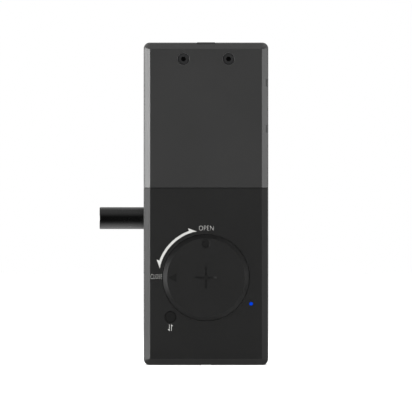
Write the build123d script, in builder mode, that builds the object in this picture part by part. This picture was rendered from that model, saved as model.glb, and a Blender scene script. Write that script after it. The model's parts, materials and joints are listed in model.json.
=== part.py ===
from build123d import *
import math
import os

os.makedirs("parts", exist_ok=True)

# Battery-powered bolt lock for a sectional garage door, in millimetres.
# +Z is up, +X is to the right and -Y points at the person facing it. The origin is the middle of
# the four mounting holes on the rear face. A "depth" is counted from the rear face towards the
# front, so a depth of 10 lies at Y = -10, and sketches on a depth plane read as X and Z.

# Case
case_width = 68.0
case_height = 176.0
case_depth = 42.0
corner_radius = 3.3
bevel = 3.5
bevel_corner_radius = 0.3
shoulder_radius = 2.0
wall = 2.4
rear_wall = 2.5
rear_edge_radius = 2.0
parting_gap = 0.5
body_gap = 1.0
seam = 0.3
lip_height = 1.6
lip_gap = 0.3
drain_width = 5.3
drain_depth = 0.35
label_width = 34.0
label_height = 76.0
label_depth = 0.3
label_radius = 2.0

# Fits
running = 0.05
seat_gap = 0.02
loose = 0.3
tiny = 0.001

# Latch tongues on the rear housing, which show through notches in the battery cover
tongue_depth = 1.1
top_tongue_depth = 0.7
top_tongue_width = 9.8
side_tongue_width = 3.7
side_tongue_pitch = 25.1
side_tongue_drop = 21.9
tongue_proud = 0.15
tongue_sunk = 0.2
tongue_flat = 0.1
tongue_gap = 0.15
tongue_root = 4.0

# Dial and its place
dial_height = 47.8
dial_radius = 23.5
dial_gap = 0.3
hole_chamfer = 0.15
dial_flange = 1.2
dial_flange_thickness = 1.3
dial_rise = 1.6
dial_bevel = 2.3
dial_shell = 2.4
dial_hub_radius = 7.0
mark_depth = 0.5
pointer_tip = 20.4
pointer_length = 4.3
pointer_width = 4.8
spot_radius = 2.2
spot_offset = 18.5
spot_depth = 0.8
cross_arm = 6.0
cross_width = 1.0
cross_core = 1.5
cross_depth = 1.1

# Sliding bolt
bolt_rise = 32.4
bolt_setback = 4.0
bolt_radius = 6.0
bolt_reach = 24.2
bolt_chamfer = 0.3
bush_wall = 1.95
bush_length = 10.2
bush_recess = 0.5
bush_flange = 1.0
bush_flange_radius = 9.3
bush_boss_wall = 1.5

# Gear train, from the dial to the motor
pressure_angle = 25.0
addendum = 0.85
dedendum = 1.1
backlash = 0.1
dial_module = 1.0
dial_teeth = 30
pinion_teeth = 12
third_module = 0.7
third_teeth = 36
second_module = 0.5
second_teeth = 48
first_module = 0.5
first_teeth = 50
motor_teeth = 10
third_angle = -50.0
second_angle = 200.0
first_angle = 150.0
motor_angle = -95.0

# Thickness of each layer of the gearbox, and the gap in front of the one behind it
base_gap = 2.5
base_thickness = 2.0
rack_thickness = 6.0
third_thickness = 2.0
third_gap = 0.8
second_thickness = 1.8
first_thickness = 1.6
wheel_gap = 0.6
bridge_thickness = 1.2
bridge_gap = 0.8

# Axles, spindle and pillars
axle_radius = 1.5
thin_axle_radius = 1.0
spindle_radius = 4.0
spindle_flat = 0.8
spindle_drop = 3.0
gear_hub_radius = 6.5
bearing_gap = 1.8
clip_thickness = 0.7
clip_radius = 5.6
clip_groove = 0.6
washer_radius = 6.8
washer_thickness = 0.4
pillar_radius = 3.0
pillar_pad = 1.2
bearing_pad = 4.0
pillar_offsets = [(27.4, -4.0), (-26.0, 3.0), (19.0, -37.0), (-1.0, -40.0)]
base_screw_offsets = [(10.0, -30.0), (-27.0, 20.0), (27.0, 20.0), (-28.4, -16.0)]
axle_boss_radius = 2.6

# Motor
motor_radius = 10.5
motor_length = 12.3
motor_drop = 5.5
motor_cap = 2.4
cap_floor = 0.6
motor_cup_height = 9.0
motor_shaft_radius = 0.75
shaft_inset = 0.8
pinion_spare = 0.4
motor_cup_wall = 1.5
motor_gap = 0.1
motor_boss_radius = 3.0
motor_boss_height = 0.9
strap_width = 5.6
strap_angle = -60.0
strap_overhang = 2.9
strap_ring = 2.2
lead_notch = 5.0
lead_drop = 1.6
strap_thickness = 0.8
strap_post_radius = 2.2

# Carriage that joins the bolt to the rack
carriage_width = 14.0
carriage_left = -17.5
carriage_wall = 1.5
carriage_shoulder = 4.9
rack_bar_height = 5.4
rack_margin = 6.0
rod_radius = 2.0
rod_rise = 43.0
lug_thickness = 1.4
lug_gap = 0.8
cross_pin_radius = 1.25
magnet_radius = 2.0
magnet_length = 3.0

# Fasteners
column_radius = 3.9
column_inset = 0.1
column_drop = 0.4
case_head_radius = 2.75
case_head_height = 2.4
case_counterbore = 4.5
case_shank_radius = 1.45
case_shank_margin = 4.1
cover_screw_offset = 12.3
cover_screw_drop = 9.0
cover_counterbore_radius = 3.2
cover_head_radius = 3.0
cover_head_height = 3.0
cover_head_sunk = 0.8
cover_socket = 2.5
cover_boss_radius = 5.0
cover_boss_height = 4.1
cover_shank_radius = 1.45
cover_shank_length = 12.0
insert_wall = 0.6
insert_length = 6.0
insert_drop = 2.9
cover_pillar_wall = 1.95
small_head_radius = 2.1
small_head_height = 1.3
small_shank_radius = 1.1
base_screw_reach = 3.3
bridge_screw_reach = 6.0
board_screw_reach = 4.5
tray_screw_reach = 7.0
strap_screw_reach = 4.5
screw_hole_spare = 0.5
mount_spacing_x = 44.0
mount_spacing_z = 100.0
mount_hole_radius = 2.0
mount_insert_wall = 0.9
mount_insert_length = 5.0
mount_boss_wall = 1.4

# Sync button, switch and light
button_x = -19.4
button_drop = 21.5
button_radius = 3.0
button_gap = 0.1
button_flange = 0.75
button_flange_thickness = 1.4
button_travel = 0.5
button_edge = 0.35
switch_size = 6.0
switch_height = 3.5
plunger_radius = 1.75
plunger_rise = 0.8
plunger_depth = 1.7
light_x = 24.6
light_drop = 14.3
light_radius = 1.1
light_gap = 0.06
light_flange = 0.9
light_dome = 0.25
led_size = 2.0
led_height = 1.0

# Board and what is soldered to it
board_thickness = 1.6
board_drop = 6.4
board_margin = 2.1
board_bottom = 11.0
board_top_rise = 26.2
board_hole_gap = 1.0
board_post_radius = 2.8
board_post_rise = 21.7
board_post_fall = 30.8
board_post_inset = 2.3
radio_width = 14.0
radio_length = 12.0
radio_height = 2.2
radio_x = 15.0
radio_rise = 11.0
chip_size = 8.5
chip_height = 1.2
chip_x = -2.75
chip_rise = 11.25
capacitor_radius = 2.5
capacitor_height = 3.6
capacitor_x = -27.0
capacitor_falls = (7.0, 15.0)
sensor_size = 3.0
sensor_height = 1.0
socket_width = 8.0
battery_socket_x = 19.5
battery_socket_length = 5.5
battery_socket_height = 4.0
motor_socket_length = 4.2
motor_socket_height = 2.0
socket_inset = 1.0

# Batteries, four AA cells in a row
cell_radius = 7.25
cell_nub_radius = 2.75
cell_nub_height = 1.2
cell_count = 4
cell_gap = 0.1
cell_clearance = 2.35
tray_wall = 1.6
tray_side_wall = 1.3
tray_floor = 1.7
tray_gap = 0.6
ridge_drop = 4.7
tray_bottom_rise = 5.3
tray_top_drop = 14.5
tray_wall_rise = 5.0
spring_length = 5.0
spring_radius = 3.0
spring_wire = 0.7
contact_thickness = 0.4
contact_height = 9.0
tray_post_radius = 3.0
tray_post_inset = 11.0
wire_radius = 0.6
lead_pitch = 2.5
lead_gap = 3.0

# Worked out from the sizes above
half_width = case_width / 2
top_z = case_height / 2
bottom_z = -top_z
dial_z = bottom_z + dial_height
bolt_z = dial_z + bolt_rise
rod_z = dial_z + rod_rise
carriage_top = rod_z + carriage_shoulder
split_z = carriage_top + body_gap
inner_half = half_width - wall
front_inside = case_depth - wall
shoulder_depth = case_depth - bevel
inner_shoulder = shoulder_depth - wall * (math.sqrt(2) - 1)
bolt_depth = case_depth / 2 - bolt_setback
bush_radius = bolt_radius + running + bush_wall
bush_boss_radius = bush_radius + bush_boss_wall
bush_inner_x = -half_width + bush_recess + bush_length
parting_depth = bolt_depth + bush_boss_radius + parting_gap
dial_pitch = dial_module * dial_teeth / 2
bolt_travel = dial_pitch * math.pi / 2
carriage_right = carriage_left + carriage_width
lug_left = carriage_left - lug_gap - lug_thickness
lug_right = carriage_right + bolt_travel + lug_gap
head_seat = case_depth - cover_head_sunk - cover_head_height
insert_top = head_seat - insert_drop
case_shank_length = front_inside - case_shank_margin - case_counterbore
button_z = dial_z - button_drop
light_z = dial_z - light_drop


def layer_after(previous, gap, thickness):
    """Start and end depth of a layer in front of another."""
    return (previous[1] + gap, previous[1] + gap + thickness)


rear_layer = (0.0, rear_wall)
base_floor = layer_after(rear_layer, base_gap, base_thickness)
rack_layer = (bolt_depth - rack_thickness / 2, bolt_depth + rack_thickness / 2)
third_layer = layer_after(rack_layer, third_gap, third_thickness)
second_layer = layer_after(third_layer, wheel_gap, second_thickness)
first_layer = layer_after(second_layer, wheel_gap, first_thickness)
bridge_layer = layer_after(first_layer, bridge_gap, bridge_thickness)
board_layer = (front_inside - board_drop - board_thickness, front_inside - board_drop)
bearing_top = rack_layer[0] - bearing_gap
motor_top = first_layer[0] - motor_drop
motor_bottom = motor_top - motor_length
switch_top = board_layer[1] + switch_height
plunger_top = switch_top + plunger_rise
flange_top = front_inside - loose
cell_depth = front_inside - cell_clearance - cell_radius
tray_wall_top = cell_depth + tray_wall_rise
tray_half = inner_half - tray_gap
cell_pitch = (tray_half - tray_side_wall - cell_gap - cell_radius) * 2 / (cell_count - 1)
tray_bottom = split_z + tray_bottom_rise
tray_top = top_z - tray_top_drop
tray_back = cell_depth - cell_radius - cell_gap - tray_floor
inside_low = tray_bottom + tray_wall
inside_high = tray_top - tray_wall
cell_length = inside_high - inside_low - 2 * contact_thickness - spring_length - cell_nub_height
column_x = inner_half - column_inset - column_radius
column_points = [
    (side * column_x, z)
    for z in (bottom_z + wall + loose + column_radius, split_z - column_drop - column_radius)
    for side in (-1, 1)
]
cover_screw_points = [(side * cover_screw_offset, top_z - cover_screw_drop) for side in (-1, 1)]
tray_post_points = [(0, tray_bottom + tray_post_inset), (0, tray_top - tray_post_inset)]
mount_points = [(x * mount_spacing_x / 2, z * mount_spacing_z / 2) for x in (-1, 1) for z in (-1, 1)]
upper_post_x = inner_half - board_post_radius - loose
lower_post_x = inner_half - board_post_radius - board_post_inset
board_post_points = [
    (-upper_post_x, dial_z + board_post_rise),
    (upper_post_x, dial_z + board_post_rise),
    (-lower_post_x, dial_z - board_post_fall),
    (lower_post_x, dial_z - board_post_fall),
]


def from_point(point, distance, angle):
    """The point at a distance and angle, in degrees, from another."""
    turn = math.radians(angle)
    return (point[0] + distance * math.cos(turn), point[1] + distance * math.sin(turn))


def centre_distance(module, teeth, other_teeth):
    return module * (teeth + other_teeth) / 2


dial_point = (0.0, dial_z)
third_point = from_point(dial_point, centre_distance(dial_module, dial_teeth, pinion_teeth), third_angle)
second_reach = centre_distance(third_module, third_teeth, pinion_teeth)
second_point = from_point(third_point, second_reach, second_angle)
first_reach = centre_distance(second_module, second_teeth, pinion_teeth)
first_point = from_point(second_point, first_reach, first_angle)
motor_point = from_point(first_point, centre_distance(first_module, first_teeth, motor_teeth), motor_angle)
pillar_points = [(x, dial_z + rise) for x, rise in pillar_offsets]
base_screw_points = [(x, dial_z + rise) for x, rise in base_screw_offsets]
lead_exit = motor_bottom + motor_cap / 2
lead_low = motor_point[1] - motor_radius - motor_cup_wall - lead_drop
strap_points = [
    from_point(motor_point, side * (motor_radius + strap_overhang), strap_angle) for side in (-1, 1)
]


def depth_plane(depth):
    """Plane parallel to the rear face, looked at from the front: its axes are X and Z."""
    return Plane.XZ.offset(depth)


def turning_plane(point):
    """Plane through an axis along Y: its own x is the radius and its own y is the depth."""
    return Plane(origin=(point[0], 0, point[1]), x_dir=(1, 0, 0), z_dir=(0, 0, -1))


def turning_axis(point):
    return Axis((point[0], 0, point[1]), (0, -1, 0))


def posts(points, radius, start, end, mode=Mode.ADD):
    """Round columns between two depths, one at each X and Z point."""
    with BuildSketch(depth_plane(start)) as circles:
        with Locations(*points):
            Circle(radius)
    extrude(circles.sketch, amount=end - start, mode=mode)


def cones(points, start_radius, end_radius, start, end, mode=Mode.ADD):
    """Cones between two depths, one at each X and Z point."""
    for point in points:
        with BuildSketch(turning_plane(point)) as profile:
            with BuildLine() as edge:
                Polyline((0, start), (start_radius, start), (end_radius, end), (0, end), close=True)
            make_face(edge.line)
        revolve(profile.sketch, axis=turning_axis(point), mode=mode)


def block(left, right, low, high, start, end, mode=Mode.ADD):
    """Box between two X values, two Z values and two depths."""
    with BuildSketch(depth_plane(start)) as rectangle:
        with Locations(((left + right) / 2, (low + high) / 2)):
            Rectangle(right - left, high - low)
    extrude(rectangle.sketch, amount=end - start, mode=mode)


def turned(point, outline):
    """Solid of revolution about Y from points of radius and depth."""
    with BuildSketch(turning_plane(point)) as profile:
        with BuildLine() as edge:
            Polyline(*outline, close=True)
        make_face(edge.line)
    revolve(profile.sketch, axis=turning_axis(point))


def rounded_block(inset, start, end, mode=Mode.ADD):
    """The case's rounded rectangle, set in from the outside, between two depths."""
    with BuildSketch(depth_plane(start)) as outline:
        RectangleRounded(
            case_width - 2 * inset,
            case_height - 2 * inset,
            max(corner_radius - inset, bevel_corner_radius),
        )
    extrude(outline.sketch, amount=end - start, mode=mode)


def tapered_block(inset, start, end, mode=Mode.ADD):
    """The front of the case, closing in at 45 degrees from one depth to the next."""
    run = end - start
    with BuildSketch(depth_plane(start)) as wide:
        RectangleRounded(
            case_width - 2 * inset,
            case_height - 2 * inset,
            max(corner_radius - inset, bevel_corner_radius),
        )
    with BuildSketch(depth_plane(end)) as narrow:
        RectangleRounded(
            case_width - 2 * inset - 2 * run,
            case_height - 2 * inset - 2 * run,
            bevel_corner_radius,
        )
    loft([wide.sketch, narrow.sketch], ruled=True, mode=mode)


def front_shell():
    """Both front covers in one hollow shell, before it is split."""
    rounded_block(0, parting_depth, shoulder_depth)
    tapered_block(0, shoulder_depth, case_depth)
    shoulder = edges().filter_by_position(Axis.Y, -shoulder_depth - tiny, -shoulder_depth + tiny)
    fillet(shoulder, radius=shoulder_radius)
    rounded_block(wall, parting_depth, inner_shoulder, mode=Mode.SUBTRACT)
    tapered_block(wall, inner_shoulder, front_inside, mode=Mode.SUBTRACT)
    rounded_block(
        wall / 2 - lip_gap / 2, parting_depth, parting_depth + lip_height + lip_gap, mode=Mode.SUBTRACT
    )


def tongue(left, right, low, high, root, reach, outwards):
    """Latch tongue, which ends in a slope that follows the bevel of the case, a little below it."""
    end = shoulder_depth + reach - tongue_sunk
    block(left, right, low, high, parting_depth - root, end)
    front_edges = edges(Select.LAST).group_by(Axis.Y)[0]
    outer_edge = front_edges.sort_by(outwards)[-1]
    chamfer(outer_edge, length=reach)


def screws(points, seat, head_radius, head_height, shank_radius, length, facing=1):
    """Cross-head screws along Y, the head towards the front when facing is 1."""
    for start, end, radius in (
        (seat, seat + facing * head_height, head_radius),
        (seat, seat - facing * length, shank_radius),
    ):
        posts(points, radius, min(start, end), max(start, end))
    top = seat + facing * head_height
    slot = head_height * 0.5
    for across, along in ((head_radius * 1.2, 0.5), (0.5, head_radius * 1.2)):
        for x, z in points:
            block(
                x - across / 2,
                x + across / 2,
                z - along / 2,
                z + along / 2,
                min(top, top - facing * slot),
                max(top, top - facing * slot),
                mode=Mode.SUBTRACT,
            )


def flush_screws(points, face, head_radius, shank_radius, length):
    """Countersunk screws along Y, with their heads level with a face at the front."""
    posts(points, shank_radius, face - length, face)
    cones(points, shank_radius, head_radius, face - (head_radius - shank_radius), face)
    slot = (head_radius - shank_radius) * 0.7
    for across, along in ((head_radius * 1.2, 0.5), (0.5, head_radius * 1.2)):
        for x, z in points:
            block(
                x - across / 2,
                x + across / 2,
                z - along / 2,
                z + along / 2,
                face - slot,
                face,
                mode=Mode.SUBTRACT,
            )


def involute_angle(angle):
    return math.tan(angle) - angle


def tooth_point(radius, angle):
    return (radius * math.cos(angle), radius * math.sin(angle))


def gear_outline(module, teeth, phase):
    """Draws an involute gear round the sketch's centre, with a tooth at the phase, in degrees."""
    pitch = module * teeth / 2
    flank = math.radians(pressure_angle)
    base = pitch * math.cos(flank)
    tip = pitch + addendum * module
    root = pitch - dedendum * module
    half_tooth = (math.pi * module / 2 - backlash * module) / (2 * pitch)

    def half_angle(radius):
        if radius <= base:
            return half_tooth + involute_angle(flank)
        return half_tooth + involute_angle(flank) - involute_angle(math.acos(base / radius))

    start = max(base, root)
    middle = (start + tip) / 2
    step = 2 * math.pi / teeth
    with BuildLine() as line:
        for tooth in range(teeth):
            centre = math.radians(phase) + tooth * step
            rising = [tooth_point(r, centre - half_angle(r)) for r in (start, middle, tip)]
            falling = [tooth_point(r, centre + half_angle(r)) for r in (tip, middle, start)]
            root_in = tooth_point(root, centre - half_angle(start))
            root_out = tooth_point(root, centre + half_angle(start))
            next_in = tooth_point(root, centre + step - half_angle(start))
            if start > root + 1e-6:
                Line(root_in, rising[0])
            ThreePointArc(*rising)
            ThreePointArc(rising[-1], tooth_point(tip, centre), falling[0])
            ThreePointArc(*falling)
            if start > root + 1e-6:
                Line(falling[-1], root_out)
            ThreePointArc(root_out, tooth_point(root, centre + step / 2), next_in)
    make_face(line.line)


def toothed_disc(point, module, teeth, phase, layer):
    """Gear between the two depths of its layer."""
    centre = (point[0], -layer[0], point[1])
    with BuildSketch(Plane(origin=centre, x_dir=(1, 0, 0), z_dir=(0, -1, 0))) as disc:
        gear_outline(module, teeth, phase)
    extrude(disc.sketch, amount=layer[1] - layer[0])


def meshing_phase(phase, teeth, other_teeth, angle):
    """Phase of a gear that meshes with one of known phase, at an angle from it."""
    return angle + 180 - (phase - angle) * teeth / other_teeth + 180 / other_teeth


def tube(points, bend_radius, radius):
    """Wire through points, with round bends."""
    with BuildLine() as route:
        FilletPolyline(*points, radius=bend_radius)
    with BuildSketch(Plane(origin=route.line @ 0, z_dir=route.line % 0)) as section:
        Circle(radius)
    sweep(section.sketch, path=route.line)


def at(x, depth, z):
    return (x, -depth, z)


def keep(piece, name):
    piece.part.label = name
    export_step(piece.part, f"parts/{name}.step")


# Rear housing: a tub with the bolt's opening in its left wall, and the bosses for all that it holds
with BuildPart() as rear_housing:
    rounded_block(0, 0, parting_depth)
    fillet(rear_housing.edges().group_by(Axis.Y)[-1], radius=rear_edge_radius)
    rounded_block(wall, rear_wall, parting_depth, mode=Mode.SUBTRACT)
    rounded_block(wall / 2 + lip_gap / 2, parting_depth - lip_height, parting_depth + lip_height)
    rounded_block(wall, parting_depth - lip_height, parting_depth + lip_height, mode=Mode.SUBTRACT)
    posts(column_points, column_radius, rear_wall, parting_depth)
    posts(cover_screw_points, cover_shank_radius + insert_wall + cover_pillar_wall, rear_wall, insert_top)
    posts(tray_post_points, tray_post_radius, rear_wall, tray_back)
    posts(base_screw_points, pillar_radius, rear_wall, base_floor[0])
    posts(
        mount_points,
        mount_hole_radius + mount_insert_wall + mount_boss_wall,
        rear_wall,
        mount_insert_length + 1.5,
    )
    with BuildSketch(Plane.YZ.offset(-half_width + bush_recess)) as bush_boss:
        with Locations((-bolt_depth, bolt_z)):
            Circle(bush_boss_radius)
    extrude(bush_boss.sketch, amount=bush_length - bush_flange)
    with BuildSketch(Plane.YZ.offset(-half_width)) as bush_bore:
        with Locations((-bolt_depth, bolt_z)):
            Circle(bush_radius + seat_gap)
    extrude(bush_bore.sketch, amount=bush_length + bush_recess, mode=Mode.SUBTRACT)
    posts(column_points, case_head_radius + loose, 0, case_counterbore, mode=Mode.SUBTRACT)
    posts(column_points, case_shank_radius + loose / 2, case_counterbore, parting_depth, mode=Mode.SUBTRACT)
    posts(
        cover_screw_points,
        cover_shank_radius + loose,
        head_seat - cover_shank_length - 0.5,
        case_depth,
        mode=Mode.SUBTRACT,
    )
    posts(
        cover_screw_points,
        cover_shank_radius + running + insert_wall + seat_gap,
        insert_top - insert_length,
        case_depth,
        mode=Mode.SUBTRACT,
    )
    posts(
        tray_post_points,
        small_shank_radius + seat_gap,
        tray_back - tray_screw_reach - screw_hole_spare,
        tray_back,
        mode=Mode.SUBTRACT,
    )
    posts(
        base_screw_points,
        small_shank_radius + seat_gap,
        base_floor[0] - base_screw_reach - 0.2,
        base_floor[0],
        mode=Mode.SUBTRACT,
    )
    posts(
        mount_points,
        mount_hole_radius + mount_insert_wall + seat_gap,
        0,
        mount_insert_length,
        mode=Mode.SUBTRACT,
    )
    with BuildSketch(depth_plane(0)) as label_recess:
        RectangleRounded(label_width, label_height, label_radius)
    extrude(label_recess.sketch, amount=label_depth, mode=Mode.SUBTRACT)
    tongue(
        -top_tongue_width / 2,
        top_tongue_width / 2,
        top_z - top_tongue_depth,
        top_z + tongue_proud,
        tongue_root,
        top_tongue_depth,
        Axis.Z,
    )
    for row in (0, 1):
        middle = top_z - side_tongue_drop - row * side_tongue_pitch
        tongue(
            half_width - tongue_depth,
            half_width,
            middle - side_tongue_width / 2,
            middle + side_tongue_width / 2,
            lip_height,
            tongue_depth - tongue_flat,
            Axis.X,
        )
    block(
        -drain_width / 2,
        drain_width / 2,
        bottom_z,
        bottom_z + drain_depth,
        0,
        case_depth,
        mode=Mode.SUBTRACT,
    )
keep(rear_housing, "rear_housing")

# Lower front cover, with the openings for the dial, the button and the light
with BuildPart() as front_cover:
    front_shell()
    split(bisect_by=Plane.XY.offset(split_z - seam / 2), keep=Keep.BOTTOM)
    block(
        -inner_half + 3.6,
        inner_half - 3.6,
        split_z - 2.5,
        split_z + 2.6,
        front_inside - 1.9,
        front_inside - loose,
    )
    block(
        -inner_half + 3.6,
        inner_half - 3.6,
        split_z - 2.5,
        split_z - seam / 2,
        front_inside - loose,
        front_inside,
    )
    posts(column_points, column_radius, parting_depth, front_inside)
    posts(board_post_points, board_post_radius, board_layer[1], front_inside)
    posts([dial_point], dial_radius + dial_gap, parting_depth, case_depth, mode=Mode.SUBTRACT)
    round_edges = front_cover.edges().filter_by(GeomType.CIRCLE)
    dial_hole_edges = round_edges.filter_by(lambda edge: abs(edge.radius - dial_radius - dial_gap) < tiny)
    chamfer(dial_hole_edges.sort_by(Axis.Y)[0], length=hole_chamfer)
    posts([(button_x, button_z)], button_radius + button_gap, front_inside, case_depth, mode=Mode.SUBTRACT)
    posts([(light_x, light_z)], light_radius + light_gap, front_inside, case_depth, mode=Mode.SUBTRACT)
    posts(
        column_points,
        case_shank_radius + seat_gap,
        parting_depth,
        case_counterbore + case_shank_length + 0.5,
        mode=Mode.SUBTRACT,
    )
    posts(
        board_post_points,
        small_shank_radius + seat_gap,
        board_layer[1],
        board_layer[1] + board_screw_reach + screw_hole_spare,
        mode=Mode.SUBTRACT,
    )
    block(
        -drain_width / 2,
        drain_width / 2,
        bottom_z,
        bottom_z + drain_depth,
        0,
        case_depth,
        mode=Mode.SUBTRACT,
    )
keep(front_cover, "front_cover")

# Battery cover: the upper front shell, held by two sunk screws
with BuildPart() as battery_cover:
    front_shell()
    split(bisect_by=Plane.XY.offset(split_z + seam / 2), keep=Keep.TOP)
    posts(cover_screw_points, cover_boss_radius, front_inside - cover_boss_height, front_inside)
    posts(cover_screw_points, cover_counterbore_radius, head_seat, case_depth, mode=Mode.SUBTRACT)
    posts(cover_screw_points, cover_shank_radius + loose / 2, 0, head_seat, mode=Mode.SUBTRACT)
    round_edges = battery_cover.edges().filter_by(GeomType.CIRCLE)
    mouth_edges = round_edges.filter_by(lambda edge: abs(edge.radius - cover_counterbore_radius) < tiny)
    chamfer(mouth_edges.group_by(Axis.Y)[0], length=hole_chamfer)
    block(
        -top_tongue_width / 2 - tongue_gap,
        top_tongue_width / 2 + tongue_gap,
        top_z - top_tongue_depth - tongue_gap,
        top_z,
        parting_depth,
        case_depth,
        mode=Mode.SUBTRACT,
    )
    for row in (0, 1):
        middle = top_z - side_tongue_drop - row * side_tongue_pitch
        block(
            half_width - tongue_depth - tongue_gap,
            half_width,
            middle - side_tongue_width / 2 - tongue_gap,
            middle + side_tongue_width / 2 + tongue_gap,
            parting_depth,
            case_depth,
            mode=Mode.SUBTRACT,
        )
keep(battery_cover, "battery_cover")

# The two socket-head screws that hold the battery cover, and the brass inserts that they turn into
with BuildPart() as cover_screws:
    posts(cover_screw_points, cover_head_radius, head_seat, head_seat + cover_head_height)
    chamfer(cover_screws.edges().filter_by(GeomType.CIRCLE).group_by(Axis.Y)[0], length=hole_chamfer)
    posts(cover_screw_points, cover_shank_radius, head_seat - cover_shank_length, head_seat)
    with BuildSketch(depth_plane(head_seat + cover_head_height - 1.6)) as sockets:
        with Locations(*cover_screw_points):
            RegularPolygon(cover_socket / 2, 6, major_radius=False)
    extrude(sockets.sketch, amount=1.6, mode=Mode.SUBTRACT)
keep(cover_screws, "cover_screws")

with BuildPart() as cover_inserts:
    posts(
        cover_screw_points,
        cover_shank_radius + running + insert_wall,
        insert_top - insert_length,
        insert_top,
    )
    posts(cover_screw_points, cover_shank_radius + running, 0, case_depth, mode=Mode.SUBTRACT)
keep(cover_inserts, "cover_inserts")

with BuildPart() as mount_inserts:
    posts(mount_points, mount_hole_radius + mount_insert_wall, 0, mount_insert_length)
    posts(mount_points, mount_hole_radius, 0, mount_insert_length, mode=Mode.SUBTRACT)
keep(mount_inserts, "mount_inserts")

with BuildPart() as case_screws:
    screws(
        column_points,
        case_counterbore,
        case_head_radius,
        case_head_height,
        case_shank_radius,
        case_shank_length,
        facing=-1,
    )
keep(case_screws, "case_screws")

# Gearbox base: a moulded floor with the motor's cup, the axle bosses, the pillars and the rod's lugs
base_left = -inner_half + 1.2
base_top = carriage_top + 0.1
base_shoulder = column_points[2][1] - column_radius - loose
with BuildPart() as gearbox_base:
    block(base_left, -base_left, bottom_z + wall + 2.6, base_shoulder, *base_floor)
    block(lug_left, lug_right + lug_thickness, base_shoulder, base_top, *base_floor)
    posts([dial_point], spindle_radius + running + 2.4, base_floor[0], bearing_top)
    posts([third_point], axle_boss_radius, base_floor[0], rack_layer[0] - loose)
    posts([second_point], axle_boss_radius, base_floor[0], third_layer[0] - loose)
    posts([first_point], axle_boss_radius, base_floor[0], second_layer[0] - loose)
    posts(pillar_points, pillar_radius, base_floor[0], bridge_layer[0])
    posts(
        [motor_point],
        motor_radius + motor_gap + motor_cup_wall,
        base_floor[0],
        motor_bottom + motor_cup_height,
    )
    posts([motor_point], motor_radius + motor_gap, motor_bottom, case_depth, mode=Mode.SUBTRACT)
    for left in (lug_left, lug_right):
        block(left, left + lug_thickness, rod_z - 4.0, base_top, base_floor[0], bolt_depth + 4.2)
    posts(strap_points, strap_post_radius, base_floor[0], motor_top)
    posts(strap_points, small_shank_radius + seat_gap, motor_top - 5, motor_top, mode=Mode.SUBTRACT)
    block(
        motor_point[0] - lead_notch / 2,
        motor_point[0] + lead_notch / 2,
        lead_low - wire_radius - loose,
        motor_point[1] - motor_radius + 1,
        lead_exit - wire_radius - loose,
        case_depth,
        mode=Mode.SUBTRACT,
    )
    with BuildSketch(Plane.YZ.offset(lug_left)) as rod_hole:
        with Locations((-bolt_depth, rod_z)):
            Circle(rod_radius + seat_gap)
    extrude(rod_hole.sketch, amount=lug_right + lug_thickness - lug_left, mode=Mode.SUBTRACT)
    posts([dial_point], spindle_radius + running, 0, bearing_top, mode=Mode.SUBTRACT)
    posts([third_point], axle_radius + seat_gap, 0, rack_layer[0], mode=Mode.SUBTRACT)
    posts([second_point, first_point], thin_axle_radius + seat_gap, 0, second_layer[0], mode=Mode.SUBTRACT)
    posts(
        pillar_points,
        small_shank_radius + seat_gap,
        bridge_layer[0] - bridge_screw_reach - screw_hole_spare,
        bridge_layer[0],
        mode=Mode.SUBTRACT,
    )
    posts(base_screw_points, small_shank_radius + seat_gap, *base_floor, mode=Mode.SUBTRACT)
    posts(column_points, column_radius + loose, 0, parting_depth, mode=Mode.SUBTRACT)
    with BuildSketch(Plane.YZ.offset(-half_width)) as bush_room:
        with Locations((-bolt_depth, bolt_z)):
            Circle(bush_boss_radius + loose)
    extrude(bush_room.sketch, amount=bush_inner_x + half_width + loose, mode=Mode.SUBTRACT)
    posts(
        [point for point in mount_points if point[1] < base_top],
        mount_hole_radius + mount_insert_wall + mount_boss_wall + loose,
        0,
        mount_insert_length + 2,
        mode=Mode.SUBTRACT,
    )
keep(gearbox_base, "gearbox_base")

with BuildPart() as gearbox_screws:
    screws(
        base_screw_points,
        base_floor[1],
        small_head_radius,
        small_head_height,
        small_shank_radius,
        base_floor[1] - base_floor[0] + base_screw_reach,
    )
keep(gearbox_screws, "gearbox_screws")

# Bridge plate: steel, over the gears, held on the pillars
with BuildPart() as bridge_plate:
    with BuildSketch(depth_plane(bridge_layer[0])):
        with BuildSketch(mode=Mode.PRIVATE) as bridge_pads:
            with Locations(*pillar_points, first_point, second_point, third_point):
                Circle(pillar_radius + pillar_pad)
            with Locations(dial_point):
                Circle(spindle_radius + bearing_pad)
        add(make_hull(bridge_pads.sketch.edges()))
    extrude(amount=bridge_layer[1] - bridge_layer[0])
    posts([dial_point], spindle_radius + running, *bridge_layer, mode=Mode.SUBTRACT)
    posts([third_point], axle_radius + seat_gap, *bridge_layer, mode=Mode.SUBTRACT)
    posts([second_point, first_point], thin_axle_radius + seat_gap, *bridge_layer, mode=Mode.SUBTRACT)
    posts(pillar_points, small_shank_radius + 0.1, *bridge_layer, mode=Mode.SUBTRACT)
    cones(
        pillar_points,
        small_shank_radius + 0.1,
        small_head_radius + 0.1,
        bridge_layer[1] - (small_head_radius - small_shank_radius),
        bridge_layer[1],
        mode=Mode.SUBTRACT,
    )
keep(bridge_plate, "bridge_plate")

with BuildPart() as bridge_screws:
    flush_screws(
        pillar_points,
        bridge_layer[1],
        small_head_radius,
        small_shank_radius,
        bridge_thickness + bridge_screw_reach,
    )
keep(bridge_screws, "bridge_screws")

# Fixed axles of the three double gears
for name, point, radius in (
    ("third_axle", third_point, axle_radius),
    ("second_axle", second_point, thin_axle_radius),
    ("first_axle", first_point, thin_axle_radius),
):
    with BuildPart() as axle:
        posts([point], radius, base_floor[0] + 0.2, bridge_layer[1])
    keep(axle, name)

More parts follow.
